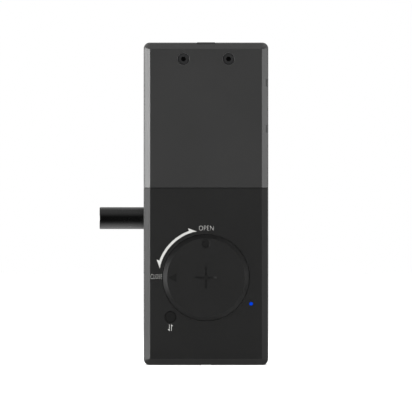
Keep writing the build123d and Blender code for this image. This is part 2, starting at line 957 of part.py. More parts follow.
# Bush that guides the bolt through the left wall
with BuildPart() as bolt_bush:
    bush_start = bush_inner_x - bush_length
    with BuildSketch(Plane.YZ.offset(bush_start)) as bush_body:
        with Locations((-bolt_depth, bolt_z)):
            Circle(bush_radius)
    extrude(bush_body.sketch, amount=bush_length)
    with BuildSketch(Plane.YZ.offset(bush_inner_x - bush_flange)) as bush_rim:
        with Locations((-bolt_depth, bolt_z)):
            Circle(bush_flange_radius)
    extrude(bush_rim.sketch, amount=bush_flange)
    with BuildSketch(Plane.YZ.offset(bush_start)) as bush_hole:
        with Locations((-bolt_depth, bolt_z)):
            Circle(bolt_radius + running)
    extrude(bush_hole.sketch, amount=bush_length, mode=Mode.SUBTRACT)
keep(bolt_bush, "bolt_bush")

with BuildPart() as guide_rod:
    with BuildSketch(Plane.YZ.offset(lug_left)) as rod_section:
        with Locations((-bolt_depth, rod_z)):
            Circle(rod_radius)
    extrude(rod_section.sketch, amount=lug_right + lug_thickness - lug_left)
keep(guide_rod, "guide_rod")

# Lock bolt: round steel bar with a chamfered nose and a cross hole for its pin
bolt_end = carriage_right
pin_x = (carriage_left + carriage_right) / 2
with BuildPart() as lock_bolt:
    with BuildSketch(Plane.YZ.offset(-half_width - bolt_reach)) as bolt_section:
        with Locations((-bolt_depth, bolt_z)):
            Circle(bolt_radius)
    extrude(bolt_section.sketch, amount=half_width + bolt_reach + bolt_end)
    chamfer(lock_bolt.edges().group_by(Axis.X)[0], length=bolt_chamfer)
    posts([(pin_x, bolt_z)], cross_pin_radius + seat_gap, 0, case_depth, mode=Mode.SUBTRACT)
keep(lock_bolt, "lock_bolt")

# Carriage: clamps the bolt's inner end, slides on the guide rod and carries the rack
rack_pitch_z = dial_z + dial_pitch
rack_root = rack_pitch_z + dedendum * dial_module
rack_left = -bolt_travel - rack_margin
rack_right = rack_margin
block_start = bolt_depth - bolt_radius - carriage_wall
block_end = bolt_depth + bolt_radius + carriage_wall
with BuildPart() as bolt_carriage:
    block(carriage_left, carriage_right, rack_root, carriage_top, block_start, block_end)
    block(rack_left, rack_right, rack_root, rack_root + rack_bar_height, *rack_layer)
    with BuildSketch(depth_plane(rack_layer[0])) as rack_teeth:
        tooth_pitch = math.pi * dial_module
        half_root = tooth_pitch / 4 - backlash * dial_module / 2
        slope = math.tan(math.radians(pressure_angle))
        first_gap = math.ceil(rack_left / tooth_pitch + 0.5)
        last_gap = math.floor(rack_right / tooth_pitch - 0.5)
        for number in range(first_gap, last_gap + 1):
            middle = (number + 0.5) * tooth_pitch
            if middle + tooth_pitch / 2 > rack_right or middle - tooth_pitch / 2 < rack_left:
                continue
            tip_half = half_root - addendum * dial_module * slope
            root_half = half_root + dedendum * dial_module * slope
            tip_z = rack_pitch_z - addendum * dial_module
            with BuildLine() as tooth_line:
                Polyline(
                    (middle - tip_half, tip_z),
                    (middle + tip_half, tip_z),
                    (middle + root_half, rack_root),
                    (middle - root_half, rack_root),
                    close=True,
                )
            make_face(tooth_line.line)
    extrude(rack_teeth.sketch, amount=rack_layer[1] - rack_layer[0])
    with BuildSketch(Plane.YZ.offset(carriage_left)) as carriage_bores:
        with Locations((-bolt_depth, bolt_z)):
            Circle(bolt_radius + seat_gap)
        with Locations((-bolt_depth, rod_z)):
            Circle(rod_radius + running)
    extrude(carriage_bores.sketch, amount=carriage_width, mode=Mode.SUBTRACT)
    posts([(pin_x, bolt_z)], cross_pin_radius + seat_gap, 0, case_depth, mode=Mode.SUBTRACT)
    posts(
        [(pin_x, rack_root + rack_bar_height / 2)],
        magnet_radius + seat_gap,
        block_end - magnet_length,
        block_end,
        mode=Mode.SUBTRACT,
    )
keep(bolt_carriage, "bolt_carriage")

with BuildPart() as bolt_pin:
    posts([(pin_x, bolt_z)], cross_pin_radius, block_start, block_end)
keep(bolt_pin, "bolt_pin")

with BuildPart() as position_magnet:
    posts([(pin_x, rack_root + rack_bar_height / 2)], magnet_radius, block_end - magnet_length, block_end)
keep(position_magnet, "position_magnet")

# Dial: a bevelled disc with a retaining flange behind the cover and a hub on the spindle
dial_face = case_depth + dial_rise
spindle_end = dial_face - spindle_drop
hub_start = bridge_layer[1] + washer_thickness + 0.1
with BuildPart() as dial_knob:
    turned(
        dial_point,
        [
            (0, hub_start),
            (dial_hub_radius, hub_start),
            (dial_hub_radius, dial_face - dial_shell),
            (dial_radius - dial_shell, dial_face - dial_shell),
            (dial_radius - dial_shell, flange_top - dial_flange_thickness),
            (dial_radius + dial_flange, flange_top - dial_flange_thickness),
            (dial_radius + dial_flange, flange_top),
            (dial_radius, flange_top),
            (dial_radius, case_depth),
            (dial_radius - dial_bevel, dial_face),
            (0, dial_face),
        ],
    )
    with BuildSketch(depth_plane(hub_start)) as spindle_socket:
        with Locations(dial_point):
            Circle(spindle_radius + seat_gap)
        with Locations((0, dial_z + 2 * spindle_radius - spindle_flat + seat_gap)):
            Rectangle(2 * spindle_radius + 1, 2 * spindle_radius, mode=Mode.SUBTRACT)
    extrude(spindle_socket.sketch, amount=spindle_end + 0.2 - hub_start, mode=Mode.SUBTRACT)
    with BuildSketch(depth_plane(dial_face - mark_depth)):
        with BuildLine():
            Polyline(
                (-pointer_tip, dial_z),
                (-pointer_tip + pointer_length, dial_z - pointer_width / 2),
                (-pointer_tip + pointer_length, dial_z + pointer_width / 2),
                close=True,
            )
        make_face()
    extrude(amount=mark_depth, mode=Mode.SUBTRACT)
    spot_ball = (spot_radius**2 + spot_depth**2) / (2 * spot_depth)
    spot_centre = dial_face - spot_depth + spot_ball
    with BuildSketch(turning_plane((0, dial_z + spot_offset))):
        with Locations((0, spot_centre)):
            Circle(spot_ball)
        with Locations((-spot_ball, spot_centre)):
            Rectangle(2 * spot_ball, 4 * spot_ball, mode=Mode.SUBTRACT)
    revolve(axis=turning_axis((0, dial_z + spot_offset)), mode=Mode.SUBTRACT)
    with BuildSketch(depth_plane(dial_face - cross_depth)):
        with Locations(dial_point):
            SlotOverall(2 * cross_arm, cross_width)
            SlotOverall(2 * cross_arm, cross_width, rotation=90)
            Circle(cross_core, mode=Mode.SUBTRACT)
    extrude(amount=cross_depth, mode=Mode.SUBTRACT)
keep(dial_knob, "dial_knob")

# Spindle with a flat for the knob and the dial gear, and a groove for its clip
clip_start = bridge_layer[0] - clip_thickness - 0.2
with BuildPart() as dial_spindle:
    posts([dial_point], spindle_radius, base_floor[0] + 0.2, spindle_end)
    flat_low = dial_z + spindle_radius - spindle_flat
    for start, end in ((rack_layer[0] - 1.0, rack_layer[1] + 1.0), (hub_start, spindle_end)):
        block(-spindle_radius, spindle_radius, flat_low, flat_low + spindle_radius, start, end, mode=Mode.SUBTRACT)
    with BuildSketch(depth_plane(clip_start - 0.05)) as groove:
        with Locations(dial_point):
            Circle(spindle_radius + 1)
            Circle(spindle_radius - clip_groove, mode=Mode.SUBTRACT)
    extrude(groove.sketch, amount=clip_thickness + 0.1, mode=Mode.SUBTRACT)
keep(dial_spindle, "dial_spindle")

dial_phase = 90.0
with BuildPart() as dial_gear:
    toothed_disc(dial_point, dial_module, dial_teeth, dial_phase, rack_layer)
    posts([dial_point], gear_hub_radius, bearing_top + 0.2, clip_start - 0.1)
    posts([dial_point], spindle_radius + seat_gap, 0, case_depth, mode=Mode.SUBTRACT)
    block(
        -spindle_radius,
        spindle_radius,
        flat_low + seat_gap,
        dial_z + spindle_radius + 1,
        rack_layer[0] - 0.8,
        rack_layer[1] + 0.8,
    )
keep(dial_gear, "dial_gear")

with BuildPart() as spindle_clip:
    with BuildSketch(depth_plane(clip_start)):
        with Locations(dial_point):
            Circle(clip_radius)
            Circle(spindle_radius - clip_groove + seat_gap, mode=Mode.SUBTRACT)
        with Locations((0, dial_z - clip_radius)):
            Rectangle(2 * (spindle_radius - clip_groove) * 0.8, 2 * clip_radius, mode=Mode.SUBTRACT)
    extrude(amount=clip_thickness)
keep(spindle_clip, "spindle_clip")

with BuildPart() as spindle_washer:
    posts([dial_point], washer_radius, bridge_layer[1] + 0.05, bridge_layer[1] + 0.05 + washer_thickness)
    posts([dial_point], spindle_radius + 0.15, 0, case_depth, mode=Mode.SUBTRACT)
keep(spindle_washer, "spindle_washer")


def gear_bore(point, radius):
    posts([point], radius + running, 0, case_depth, mode=Mode.SUBTRACT)


# Double gears: each carries a large wheel and the pinion that drives the next one
third_pinion_phase = meshing_phase(dial_phase, dial_teeth, pinion_teeth, third_angle)
with BuildPart() as third_gear:
    toothed_disc(third_point, dial_module, pinion_teeth, third_pinion_phase, (rack_layer[0], third_layer[0]))
    toothed_disc(third_point, third_module, third_teeth, 0.0, third_layer)
    posts([third_point], axle_radius + 1.1, third_layer[1], bridge_layer[0] - 0.2)
    gear_bore(third_point, axle_radius)
keep(third_gear, "third_gear")

second_pinion_phase = meshing_phase(0.0, third_teeth, pinion_teeth, second_angle)
with BuildPart() as second_gear:
    toothed_disc(
        second_point,
        third_module,
        pinion_teeth,
        second_pinion_phase,
        (third_layer[0] - 0.2, second_layer[0]),
    )
    toothed_disc(second_point, second_module, second_teeth, 0.0, second_layer)
    posts([second_point], thin_axle_radius + 0.7, second_layer[1], bridge_layer[0] - 0.2)
    gear_bore(second_point, thin_axle_radius)
keep(second_gear, "second_gear")

first_pinion_phase = meshing_phase(0.0, second_teeth, pinion_teeth, first_angle)
with BuildPart() as first_gear:
    toothed_disc(
        first_point,
        second_module,
        pinion_teeth,
        first_pinion_phase,
        (second_layer[0] - 0.2, first_layer[0]),
    )
    toothed_disc(first_point, first_module, first_teeth, 0.0, first_layer)
    posts([first_point], thin_axle_radius + 0.7, first_layer[1], bridge_layer[0] - 0.2)
    gear_bore(first_point, thin_axle_radius)
keep(first_gear, "first_gear")

# Motor: a flat can with an end cap, a strap over its face, and the shaft with its pinion
motor_phase = meshing_phase(0.0, first_teeth, motor_teeth, motor_angle)
with BuildPart() as motor_can:
    posts([motor_point], motor_radius, motor_bottom + motor_cap, motor_top)
    posts([motor_point], motor_boss_radius, motor_top, motor_top + motor_boss_height)
    posts([motor_point], motor_shaft_radius + running, 0, case_depth, mode=Mode.SUBTRACT)
keep(motor_can, "motor_can")

with BuildPart() as motor_end_cap:
    posts([motor_point], motor_radius, motor_bottom, motor_bottom + motor_cap)
    posts([motor_point], motor_shaft_radius + running, motor_bottom + cap_floor, case_depth, mode=Mode.SUBTRACT)
keep(motor_end_cap, "motor_end_cap")

with BuildPart() as motor_strap:
    with BuildSketch(depth_plane(motor_top)):
        with Locations(motor_point):
            SlotCenterToCenter(2 * (motor_radius + strap_overhang), strap_width, rotation=strap_angle)
            Circle(motor_boss_radius + strap_ring)
            Circle(motor_boss_radius + 0.1, mode=Mode.SUBTRACT)
        with Locations(*strap_points):
            Circle(small_shank_radius + 0.1, mode=Mode.SUBTRACT)
    extrude(amount=strap_thickness)
keep(motor_strap, "motor_strap")

with BuildPart() as strap_screws:
    screws(
        strap_points,
        motor_top + strap_thickness,
        small_head_radius,
        small_head_height,
        small_shank_radius,
        strap_thickness + strap_screw_reach,
    )
keep(strap_screws, "strap_screws")

with BuildPart() as motor_shaft:
    posts([motor_point], motor_shaft_radius, motor_bottom + shaft_inset, first_layer[1] + pinion_spare)
keep(motor_shaft, "motor_shaft")

with BuildPart() as motor_pinion:
    pinion_layer = (first_layer[0] - pinion_spare, first_layer[1] + pinion_spare)
    toothed_disc(motor_point, first_module, motor_teeth, motor_phase, pinion_layer)
    posts([motor_point], motor_shaft_radius + seat_gap, 0, case_depth, mode=Mode.SUBTRACT)
keep(motor_pinion, "motor_pinion")

# Circuit board behind the front cover, with a hole for the dial's hub
board_low = bottom_z + board_bottom
board_high = dial_z + board_top_rise
with BuildPart() as circuit_board:
    block(
        -inner_half + board_margin,
        inner_half - board_margin,
        board_low,
        board_high,
        *board_layer,
    )
    posts([dial_point], dial_hub_radius + board_hole_gap, *board_layer, mode=Mode.SUBTRACT)
    posts(board_post_points, small_shank_radius + 0.1, *board_layer, mode=Mode.SUBTRACT)
keep(circuit_board, "circuit_board")

with BuildPart() as board_screws:
    screws(
        board_post_points,
        board_layer[0],
        small_head_radius,
        small_head_height,
        small_shank_radius,
        board_thickness + board_screw_reach,
        facing=-1,
    )
keep(board_screws, "board_screws")

with BuildPart() as switch_body:
    block(
        button_x - switch_size / 2,
        button_x + switch_size / 2,
        button_z - switch_size / 2,
        button_z + switch_size / 2,
        board_layer[1],
        switch_top,
    )
    posts(
        [(button_x, button_z)],
        plunger_radius + running,
        switch_top - plunger_depth - button_travel - 0.2,
        switch_top,
        mode=Mode.SUBTRACT,
    )
keep(switch_body, "switch_body")

with BuildPart() as switch_plunger:
    posts([(button_x, button_z)], plunger_radius, switch_top - plunger_depth, plunger_top)
keep(switch_plunger, "switch_plunger")

with BuildPart() as sync_button:
    posts([(button_x, button_z)], plunger_radius, plunger_top, flange_top)
    posts([(button_x, button_z)], button_radius + button_flange, flange_top - button_flange_thickness, flange_top)
    posts([(button_x, button_z)], button_radius, flange_top, case_depth - 0.1)
    fillet(sync_button.edges().group_by(Axis.Y)[0], radius=button_edge)
keep(sync_button, "sync_button")

with BuildPart() as led_chip:
    block(
        light_x - led_size / 2,
        light_x + led_size / 2,
        light_z - led_size / 2,
        light_z + led_size / 2,
        board_layer[1],
        board_layer[1] + led_height,
    )
keep(led_chip, "led_chip")

with BuildPart() as light_pipe:
    light_point = (light_x, light_z)
    posts([light_point], light_radius, board_layer[1] + led_height + 0.2, case_depth)
    dome_ball = (light_radius**2 + light_dome**2) / (2 * light_dome)
    with BuildSketch(turning_plane(light_point)) as dome_profile:
        with Locations((0, case_depth + light_dome - dome_ball)):
            Circle(dome_ball)
        with Locations((0, case_depth - 2 * dome_ball)):
            Rectangle(4 * dome_ball, 4 * dome_ball, mode=Mode.SUBTRACT)
        with Locations((-dome_ball, case_depth)):
            Rectangle(2 * dome_ball, 4 * dome_ball, mode=Mode.SUBTRACT)
    revolve(dome_profile.sketch, axis=turning_axis(light_point))
    posts([light_point], light_radius + light_flange, front_inside - 1.2, front_inside)
keep(light_pipe, "light_pipe")

# What is soldered to the board: the radio's can, the controller, capacitors, sensors and sockets
with BuildPart() as radio_module:
    block(
        radio_x - radio_width / 2,
        radio_x + radio_width / 2,
        board_low + radio_rise - radio_length / 2,
        board_low + radio_rise + radio_length / 2,
        board_layer[1],
        board_layer[1] + radio_height,
    )
    fillet(radio_module.edges().filter_by(Axis.Y), radius=0.8)
keep(radio_module, "radio_module")

with BuildPart() as controller_chip:
    block(
        chip_x - chip_size / 2,
        chip_x + chip_size / 2,
        board_low + chip_rise - chip_size / 2,
        board_low + chip_rise + chip_size / 2,
        board_layer[1],
        board_layer[1] + chip_height,
    )
keep(controller_chip, "controller_chip")

with BuildPart() as board_capacitors:
    posts(
        [(capacitor_x, dial_z - fall) for fall in capacitor_falls],
        capacitor_radius,
        board_layer[1],
        board_layer[1] + capacitor_height,
    )
keep(board_capacitors, "board_capacitors")

sensor_z = rack_root + rack_bar_height / 2
with BuildPart() as bolt_sensors:
    for x in (pin_x, pin_x + bolt_travel):
        block(
            x - sensor_size / 2,
            x + sensor_size / 2,
            sensor_z - sensor_size / 2,
            sensor_z + sensor_size / 2,
            board_layer[0] - sensor_height,
            board_layer[0],
        )
keep(bolt_sensors, "bolt_sensors")

motor_socket_x = motor_point[0]
with BuildPart() as board_sockets:
    block(
        battery_socket_x - socket_width / 2,
        battery_socket_x + socket_width / 2,
        board_high - socket_inset - battery_socket_length,
        board_high - socket_inset,
        board_layer[0] - battery_socket_height,
        board_layer[0],
    )
    block(
        motor_socket_x - socket_width / 2,
        motor_socket_x + socket_width / 2,
        board_low + socket_inset,
        board_low + socket_inset + motor_socket_length,
        board_layer[0] - motor_socket_height,
        board_layer[0],
    )
keep(board_sockets, "board_sockets")

# Battery tray with a scalloped floor, its contacts and the four cells
cell_xs = [(number - (cell_count - 1) / 2) * cell_pitch for number in range(cell_count)]
tray_seat = tray_back + tray_floor + 0.5
with BuildPart() as battery_tray:
    block(-tray_half, tray_half, tray_bottom, tray_top, tray_back, tray_wall_top)
    block(
        cell_xs[0] - cell_radius - cell_gap,
        cell_xs[-1] + cell_radius + cell_gap,
        inside_low,
        inside_high,
        cell_depth - ridge_drop,
        tray_wall_top,
        mode=Mode.SUBTRACT,
    )
    with BuildSketch(Plane.XY.offset(inside_low)) as troughs:
        with Locations(*[(x, -cell_depth) for x in cell_xs]):
            Circle(cell_radius + cell_gap)
    extrude(troughs.sketch, amount=inside_high - inside_low, mode=Mode.SUBTRACT)
    posts(tray_post_points, small_head_radius + 0.2, tray_seat, tray_wall_top, mode=Mode.SUBTRACT)
    posts(tray_post_points, small_shank_radius + 0.1, tray_back, tray_seat, mode=Mode.SUBTRACT)
keep(battery_tray, "battery_tray")

with BuildPart() as tray_screws:
    screws(
        tray_post_points,
        tray_seat,
        small_head_radius,
        small_head_height,
        small_shank_radius,
        tray_seat - tray_back + tray_screw_reach,
    )
keep(tray_screws, "tray_screws")

# Odd cells stand nub up and even cells nub down, and the plates join them in series
body_low_up = inside_low + contact_thickness + spring_length
body_low_down = inside_low + contact_thickness + cell_nub_height
for number, x in enumerate(cell_xs):
    nub_up = number % 2 == 0
    body_low = body_low_up if nub_up else body_low_down
    nub_low = body_low + cell_length if nub_up else body_low - cell_nub_height
    with BuildPart() as cell:
        with BuildSketch(Plane.XY.offset(body_low)) as cell_section:
            with Locations((x, -cell_depth)):
                Circle(cell_radius)
        extrude(cell_section.sketch, amount=cell_length)
        fillet(cell.edges().filter_by(GeomType.CIRCLE), radius=0.6)
        with BuildSketch(Plane.XY.offset(nub_low)) as nub_section:
            with Locations((x, -cell_depth)):
                Circle(cell_nub_radius)
        extrude(nub_section.sketch, amount=cell_nub_height)
    keep(cell, f"battery_cell_{number + 1}")

plate_start = cell_depth - contact_height / 2
plate_end = cell_depth + contact_height / 2
with BuildPart() as battery_contacts:
    for left, right, low in (
        (cell_xs[0], cell_xs[1], inside_low),
        (cell_xs[2], cell_xs[3], inside_low),
        (cell_xs[0], cell_xs[0], inside_high - contact_thickness),
        (cell_xs[1], cell_xs[2], inside_high - contact_thickness),
        (cell_xs[3], cell_xs[3], inside_high - contact_thickness),
    ):
        block(left - 4.5, right + 4.5, low, low + contact_thickness, plate_start, plate_end)
keep(battery_contacts, "battery_contacts")

with BuildPart() as battery_springs:
    for number, x in enumerate(cell_xs):
        spring_low = inside_low + contact_thickness
        if number % 2 == 1:
            spring_low = inside_high - contact_thickness - spring_length
        with BuildSketch(Plane.XY.offset(spring_low)) as spring_section:
            with Locations((x, -cell_depth)):
                Circle(spring_radius)
                Circle(spring_radius - spring_wire, mode=Mode.SUBTRACT)
        extrude(spring_section.sketch, amount=spring_length)
keep(battery_springs, "battery_springs")

# Leads: behind the tray from its upper end down to the board, and from the motor to the board
lead_depth = tray_back - lead_gap
lead_crossing = (tray_bottom + carriage_top) / 2
with BuildPart() as battery_leads:
    for side in (-1, 1):
        x = battery_socket_x + side * lead_pitch / 2
        tube(
            [
                at(x, tray_back, tray_top - 5.0),
                at(x, lead_depth, tray_top - 5.0),
                at(x, lead_depth, lead_crossing),
                at(x, board_layer[0] - battery_socket_height / 2, lead_crossing),
                at(x, board_layer[0] - battery_socket_height / 2, board_high - socket_inset),
            ],
            1.2,
            wire_radius,
        )
keep(battery_leads, "battery_leads")

with BuildPart() as motor_leads:
    for side in (-1, 1):
        x = motor_socket_x + side * lead_pitch / 2
        tube(
            [
                at(x, lead_exit, motor_point[1] - motor_radius),
                at(x, lead_exit, lead_low),
                at(x, board_layer[0] - motor_socket_height / 2, lead_low),
                at(x, board_layer[0] - motor_socket_height / 2, board_low + socket_inset),
            ],
            1.0,
            wire_radius,
        )
keep(motor_leads, "motor_leads")

print("bolt travel", round(bolt_travel, 4), "for a quarter turn of the dial")
print("dial at", dial_point, "bolt at z", bolt_z)
print("gears at", third_point, second_point, first_point, motor_point)
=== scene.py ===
import json
import math

import bpy
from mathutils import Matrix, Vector


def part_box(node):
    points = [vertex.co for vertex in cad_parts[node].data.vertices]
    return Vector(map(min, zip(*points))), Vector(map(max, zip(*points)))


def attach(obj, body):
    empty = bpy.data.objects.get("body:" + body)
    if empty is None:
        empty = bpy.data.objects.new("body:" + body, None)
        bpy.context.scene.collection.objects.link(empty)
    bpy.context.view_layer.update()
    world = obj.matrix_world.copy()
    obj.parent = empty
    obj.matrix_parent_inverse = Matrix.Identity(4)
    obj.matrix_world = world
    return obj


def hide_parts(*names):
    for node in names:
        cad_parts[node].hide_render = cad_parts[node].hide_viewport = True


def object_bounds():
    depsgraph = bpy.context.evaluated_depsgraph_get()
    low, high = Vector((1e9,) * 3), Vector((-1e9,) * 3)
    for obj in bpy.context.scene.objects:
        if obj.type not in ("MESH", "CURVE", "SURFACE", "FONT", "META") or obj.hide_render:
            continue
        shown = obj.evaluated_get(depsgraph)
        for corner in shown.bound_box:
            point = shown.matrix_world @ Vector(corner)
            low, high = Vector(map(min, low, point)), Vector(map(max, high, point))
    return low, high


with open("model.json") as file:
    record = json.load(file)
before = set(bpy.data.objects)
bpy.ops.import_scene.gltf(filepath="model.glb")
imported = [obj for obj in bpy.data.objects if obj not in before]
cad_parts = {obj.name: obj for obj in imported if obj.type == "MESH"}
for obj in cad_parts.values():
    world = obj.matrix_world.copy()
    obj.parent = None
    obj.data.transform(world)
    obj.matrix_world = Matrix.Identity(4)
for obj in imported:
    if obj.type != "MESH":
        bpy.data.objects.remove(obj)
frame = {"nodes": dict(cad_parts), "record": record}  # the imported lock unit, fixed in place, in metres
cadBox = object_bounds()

mm = 0.001


# Shader maths: a signal is a socket that can be added, taken away and multiplied like a number

class Signal:
    def __init__(self, finish, socket):
        self.finish = finish
        self.socket = socket

    def reckon(self, operation, *values):
        return self.finish.add("ShaderNodeMath", {"operation": operation}, dict(enumerate(values)))

    def __add__(self, other):
        return self.reckon("ADD", self, other)

    def __radd__(self, other):
        return self.reckon("ADD", other, self)

    def __sub__(self, other):
        return self.reckon("SUBTRACT", self, other)

    def __rsub__(self, other):
        return self.reckon("SUBTRACT", other, self)

    def __mul__(self, other):
        return self.reckon("MULTIPLY", self, other)

    def __rmul__(self, other):
        return self.reckon("MULTIPLY", other, self)

    def __abs__(self):
        return self.reckon("ABSOLUTE", self)


class Bench:  # makes the nodes of one tree and links them
    def __init__(self, tree):
        self.tree = tree

    def add(self, kind, settings, sockets, output=0):
        node = self.tree.nodes.new(kind)
        for setting, value in settings.items():
            setattr(node, setting, value)
        for socket, value in sockets.items():
            self.feed(node.inputs[socket], value)
        return Signal(self, node.outputs[output])

    def feed(self, socket, value):
        if isinstance(value, Signal):
            self.tree.links.new(value.socket, socket)
        else:
            socket.default_value = value

    def axes(self, place):
        return [self.add("ShaderNodeSeparateXYZ", {}, {"Vector": place}, axis) for axis in "XYZ"]

    def between(self, value, start, end):  # 0 below start, 1 above end, soft between them
        sockets = {"Value": value, "From Min": start, "From Max": end}
        return self.add("ShaderNodeMapRange", {"interpolation_type": "SMOOTHSTEP"}, sockets)

    def disc(self, across, along, inner, outer):  # 1 inside the inner radius, 0 outside the outer one
        return 1 - self.between(across * across + along * along, inner ** 2, outer ** 2)


class Finish(Bench):  # one material: its shader, and the nodes that feed it
    def __init__(self, name, constants):
        self.material = bpy.data.materials.new(name)
        self.material.use_nodes = True
        super().__init__(self.material.node_tree)
        self.shader = self.tree.nodes["Principled BSDF"]
        for socket, value in constants.items():
            self.shader.inputs[socket].default_value = value
        objectPlace = self.add("ShaderNodeTexCoord", {}, {}, "Object")
        self.place = self.add("ShaderNodeMapping", {}, {"Vector": objectPlace, "Scale": (1 / mm,) * 3})

    def wear(self, socket, value):  # what changes over the surface goes to one of the shader's own sockets
        self.feed(self.shader.inputs[socket], value)

    def noise(self, size, detail=2.0, stretch=(1.0, 1.0, 1.0)):  # size in mm, stretch along each axis
        scale = tuple(1 / part for part in stretch)
        drawn = self.add("ShaderNodeMapping", {}, {"Vector": self.place, "Scale": scale})
        return self.add("ShaderNodeTexNoise", {}, {"Vector": drawn, "Scale": 1 / size, "Detail": detail}, "Fac")

    def pits(self, size):  # small round cells, as spark erosion leaves in a mould
        sockets = {"Vector": self.place, "Scale": 1 / size}
        return self.add("ShaderNodeTexVoronoi", {"feature": "SMOOTH_F1"}, sockets, "Distance")

    def blend(self, factor, first, second):
        return self.add("ShaderNodeMix", {"data_type": "RGBA"}, {0: factor, 6: first, 7: second}, 2)

    def relief(self, height, depth):  # depth in mm
        bump = self.add("ShaderNodeBump", {}, {"Height": height, "Distance": depth * mm, "Strength": 1.0})
        self.wear("Normal", bump)


def tone(colour, share=1.0):
    return tuple(part * share for part in colour) + (1.0,)


def grey(level):
    return (level, level, level, 1.0)


def corners(node):  # lowest and highest corner, in millimetres
    return [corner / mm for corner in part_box(node)]


def middleOf(node):
    low, high = corners(node)
    return (low + high) / 2


# Finishes. Sizes in a look are in millimetres, and a pair says where a change starts and where it ends.

moulding = {  # how much the cloud, the spark texture's pits and its finest grain show
    "pits": 0.6, "fineness": 0.6, "cloud": 0.6, "shade": 0.14, "cloudDull": 0.08, "grainDull": 0.1,
}


def mouldedPlastic(name, look):  # cloudy moulding with the mould's fine spark texture
    finish = Finish(name, {"Specular IOR Level": look["gloss"]})
    cloud = finish.noise(look["cloud"], detail=3.0)
    fine = finish.noise(look["grain"] * moulding["fineness"], detail=1.0)
    grain = finish.pits(look["grain"]) * moulding["pits"] + fine * (1 - moulding["pits"])
    mottle = cloud * moulding["cloud"] + grain * (1 - moulding["cloud"])
    dark, pale = (tone(look["colour"], 1 + way * moulding["shade"]) for way in (-1, 1))
    finish.colour = finish.blend(mottle, dark, pale)
    finish.wear("Base Color", finish.colour)
    dullSpots = (cloud - 0.5) * moulding["cloudDull"] + (grain - 0.4) * moulding["grainDull"]
    finish.dullness = look["roughness"] + dullSpots
    finish.wear("Roughness", finish.dullness)
    finish.relief(grain, look["depth"])
    return finish


metalwork = {"lines": 0.5, "shade": 0.18, "filmDull": 0.1, "lineDull": 0.14}


def workedMetal(name, look):  # fine lines from drawing, turning or grinding, and a dull film in patches
    finish = Finish(name, {"Metallic": look["metallic"], "Specular IOR Level": look["gloss"]})
    film = finish.noise(look["cloud"], detail=3.0)
    lines = finish.noise(look["line"], stretch=look["drawn"])
    mottle = film * (1 - metalwork["lines"]) + lines * metalwork["lines"]
    dark, pale = (tone(look["colour"], 1 + way * metalwork["shade"]) for way in (-1, 1))
    finish.colour = finish.blend(mottle, dark, pale)
    finish.wear("Base Color", finish.colour)
    dullSpots = (film - 0.5) * metalwork["filmDull"] + (lines - 0.5) * metalwork["lineDull"]
    finish.dullness = look["roughness"] + dullSpots
    finish.wear("Roughness", finish.dullness)
    finish.relief(lines, look["depth"])
    return finish


plasticLooks = {
    "case_black": {"colour": (0.0135, 0.0135, 0.0133), "gloss": 0.345, "roughness": 0.48,
                   "cloud": 30.0, "grain": 0.28, "depth": 0.0035},
    "cover_grey": {"colour": (0.0272, 0.0272, 0.0270), "gloss": 0.52, "roughness": 0.36,
                   "cloud": 34.0, "grain": 0.30, "depth": 0.0020},
    "dial_black": {"colour": (0.0133, 0.0133, 0.0131), "gloss": 0.43, "roughness": 0.42,
                   "cloud": 16.0, "grain": 0.26, "depth": 0.0022},
    "button_black": {"colour": (0.0090, 0.0090, 0.0087), "gloss": 0.20, "roughness": 0.62,
                     "cloud": 2.0, "grain": 0.55, "depth": 0.030},
    "frame_plastic": {"colour": (0.05, 0.05, 0.052), "gloss": 0.45, "roughness": 0.48,
                      "cloud": 8.0, "grain": 0.22, "depth": 0.004},
    "gear_plastic": {"colour": (0.62, 0.60, 0.54), "gloss": 0.50, "roughness": 0.36,
                     "cloud": 5.0, "grain": 0.20, "depth": 0.002},
    "bush_plastic": {"colour": (0.035, 0.035, 0.038), "gloss": 0.45, "roughness": 0.40,
                     "cloud": 4.0, "grain": 0.20, "depth": 0.003},
    "motor_plastic": {"colour": (0.03, 0.03, 0.03), "gloss": 0.40, "roughness": 0.50,
                      "cloud": 5.0, "grain": 0.22, "depth": 0.004},
    "chip": {"colour": (0.016, 0.016, 0.017), "gloss": 0.35, "roughness": 0.62,
             "cloud": 3.0, "grain": 0.14, "depth": 0.004},
    "socket_plastic": {"colour": (0.72, 0.70, 0.64), "gloss": 0.50, "roughness": 0.40,
                       "cloud": 4.0, "grain": 0.20, "depth": 0.003},
    "tray_plastic": {"colour": (0.024, 0.024, 0.025), "gloss": 0.35, "roughness": 0.55,
                     "cloud": 12.0, "grain": 0.24, "depth": 0.004},
    "print_white": {"colour": (0.46, 0.46, 0.445), "gloss": 0.30, "roughness": 0.55,
                    "cloud": 4.0, "grain": 0.12, "depth": 0.002},
}
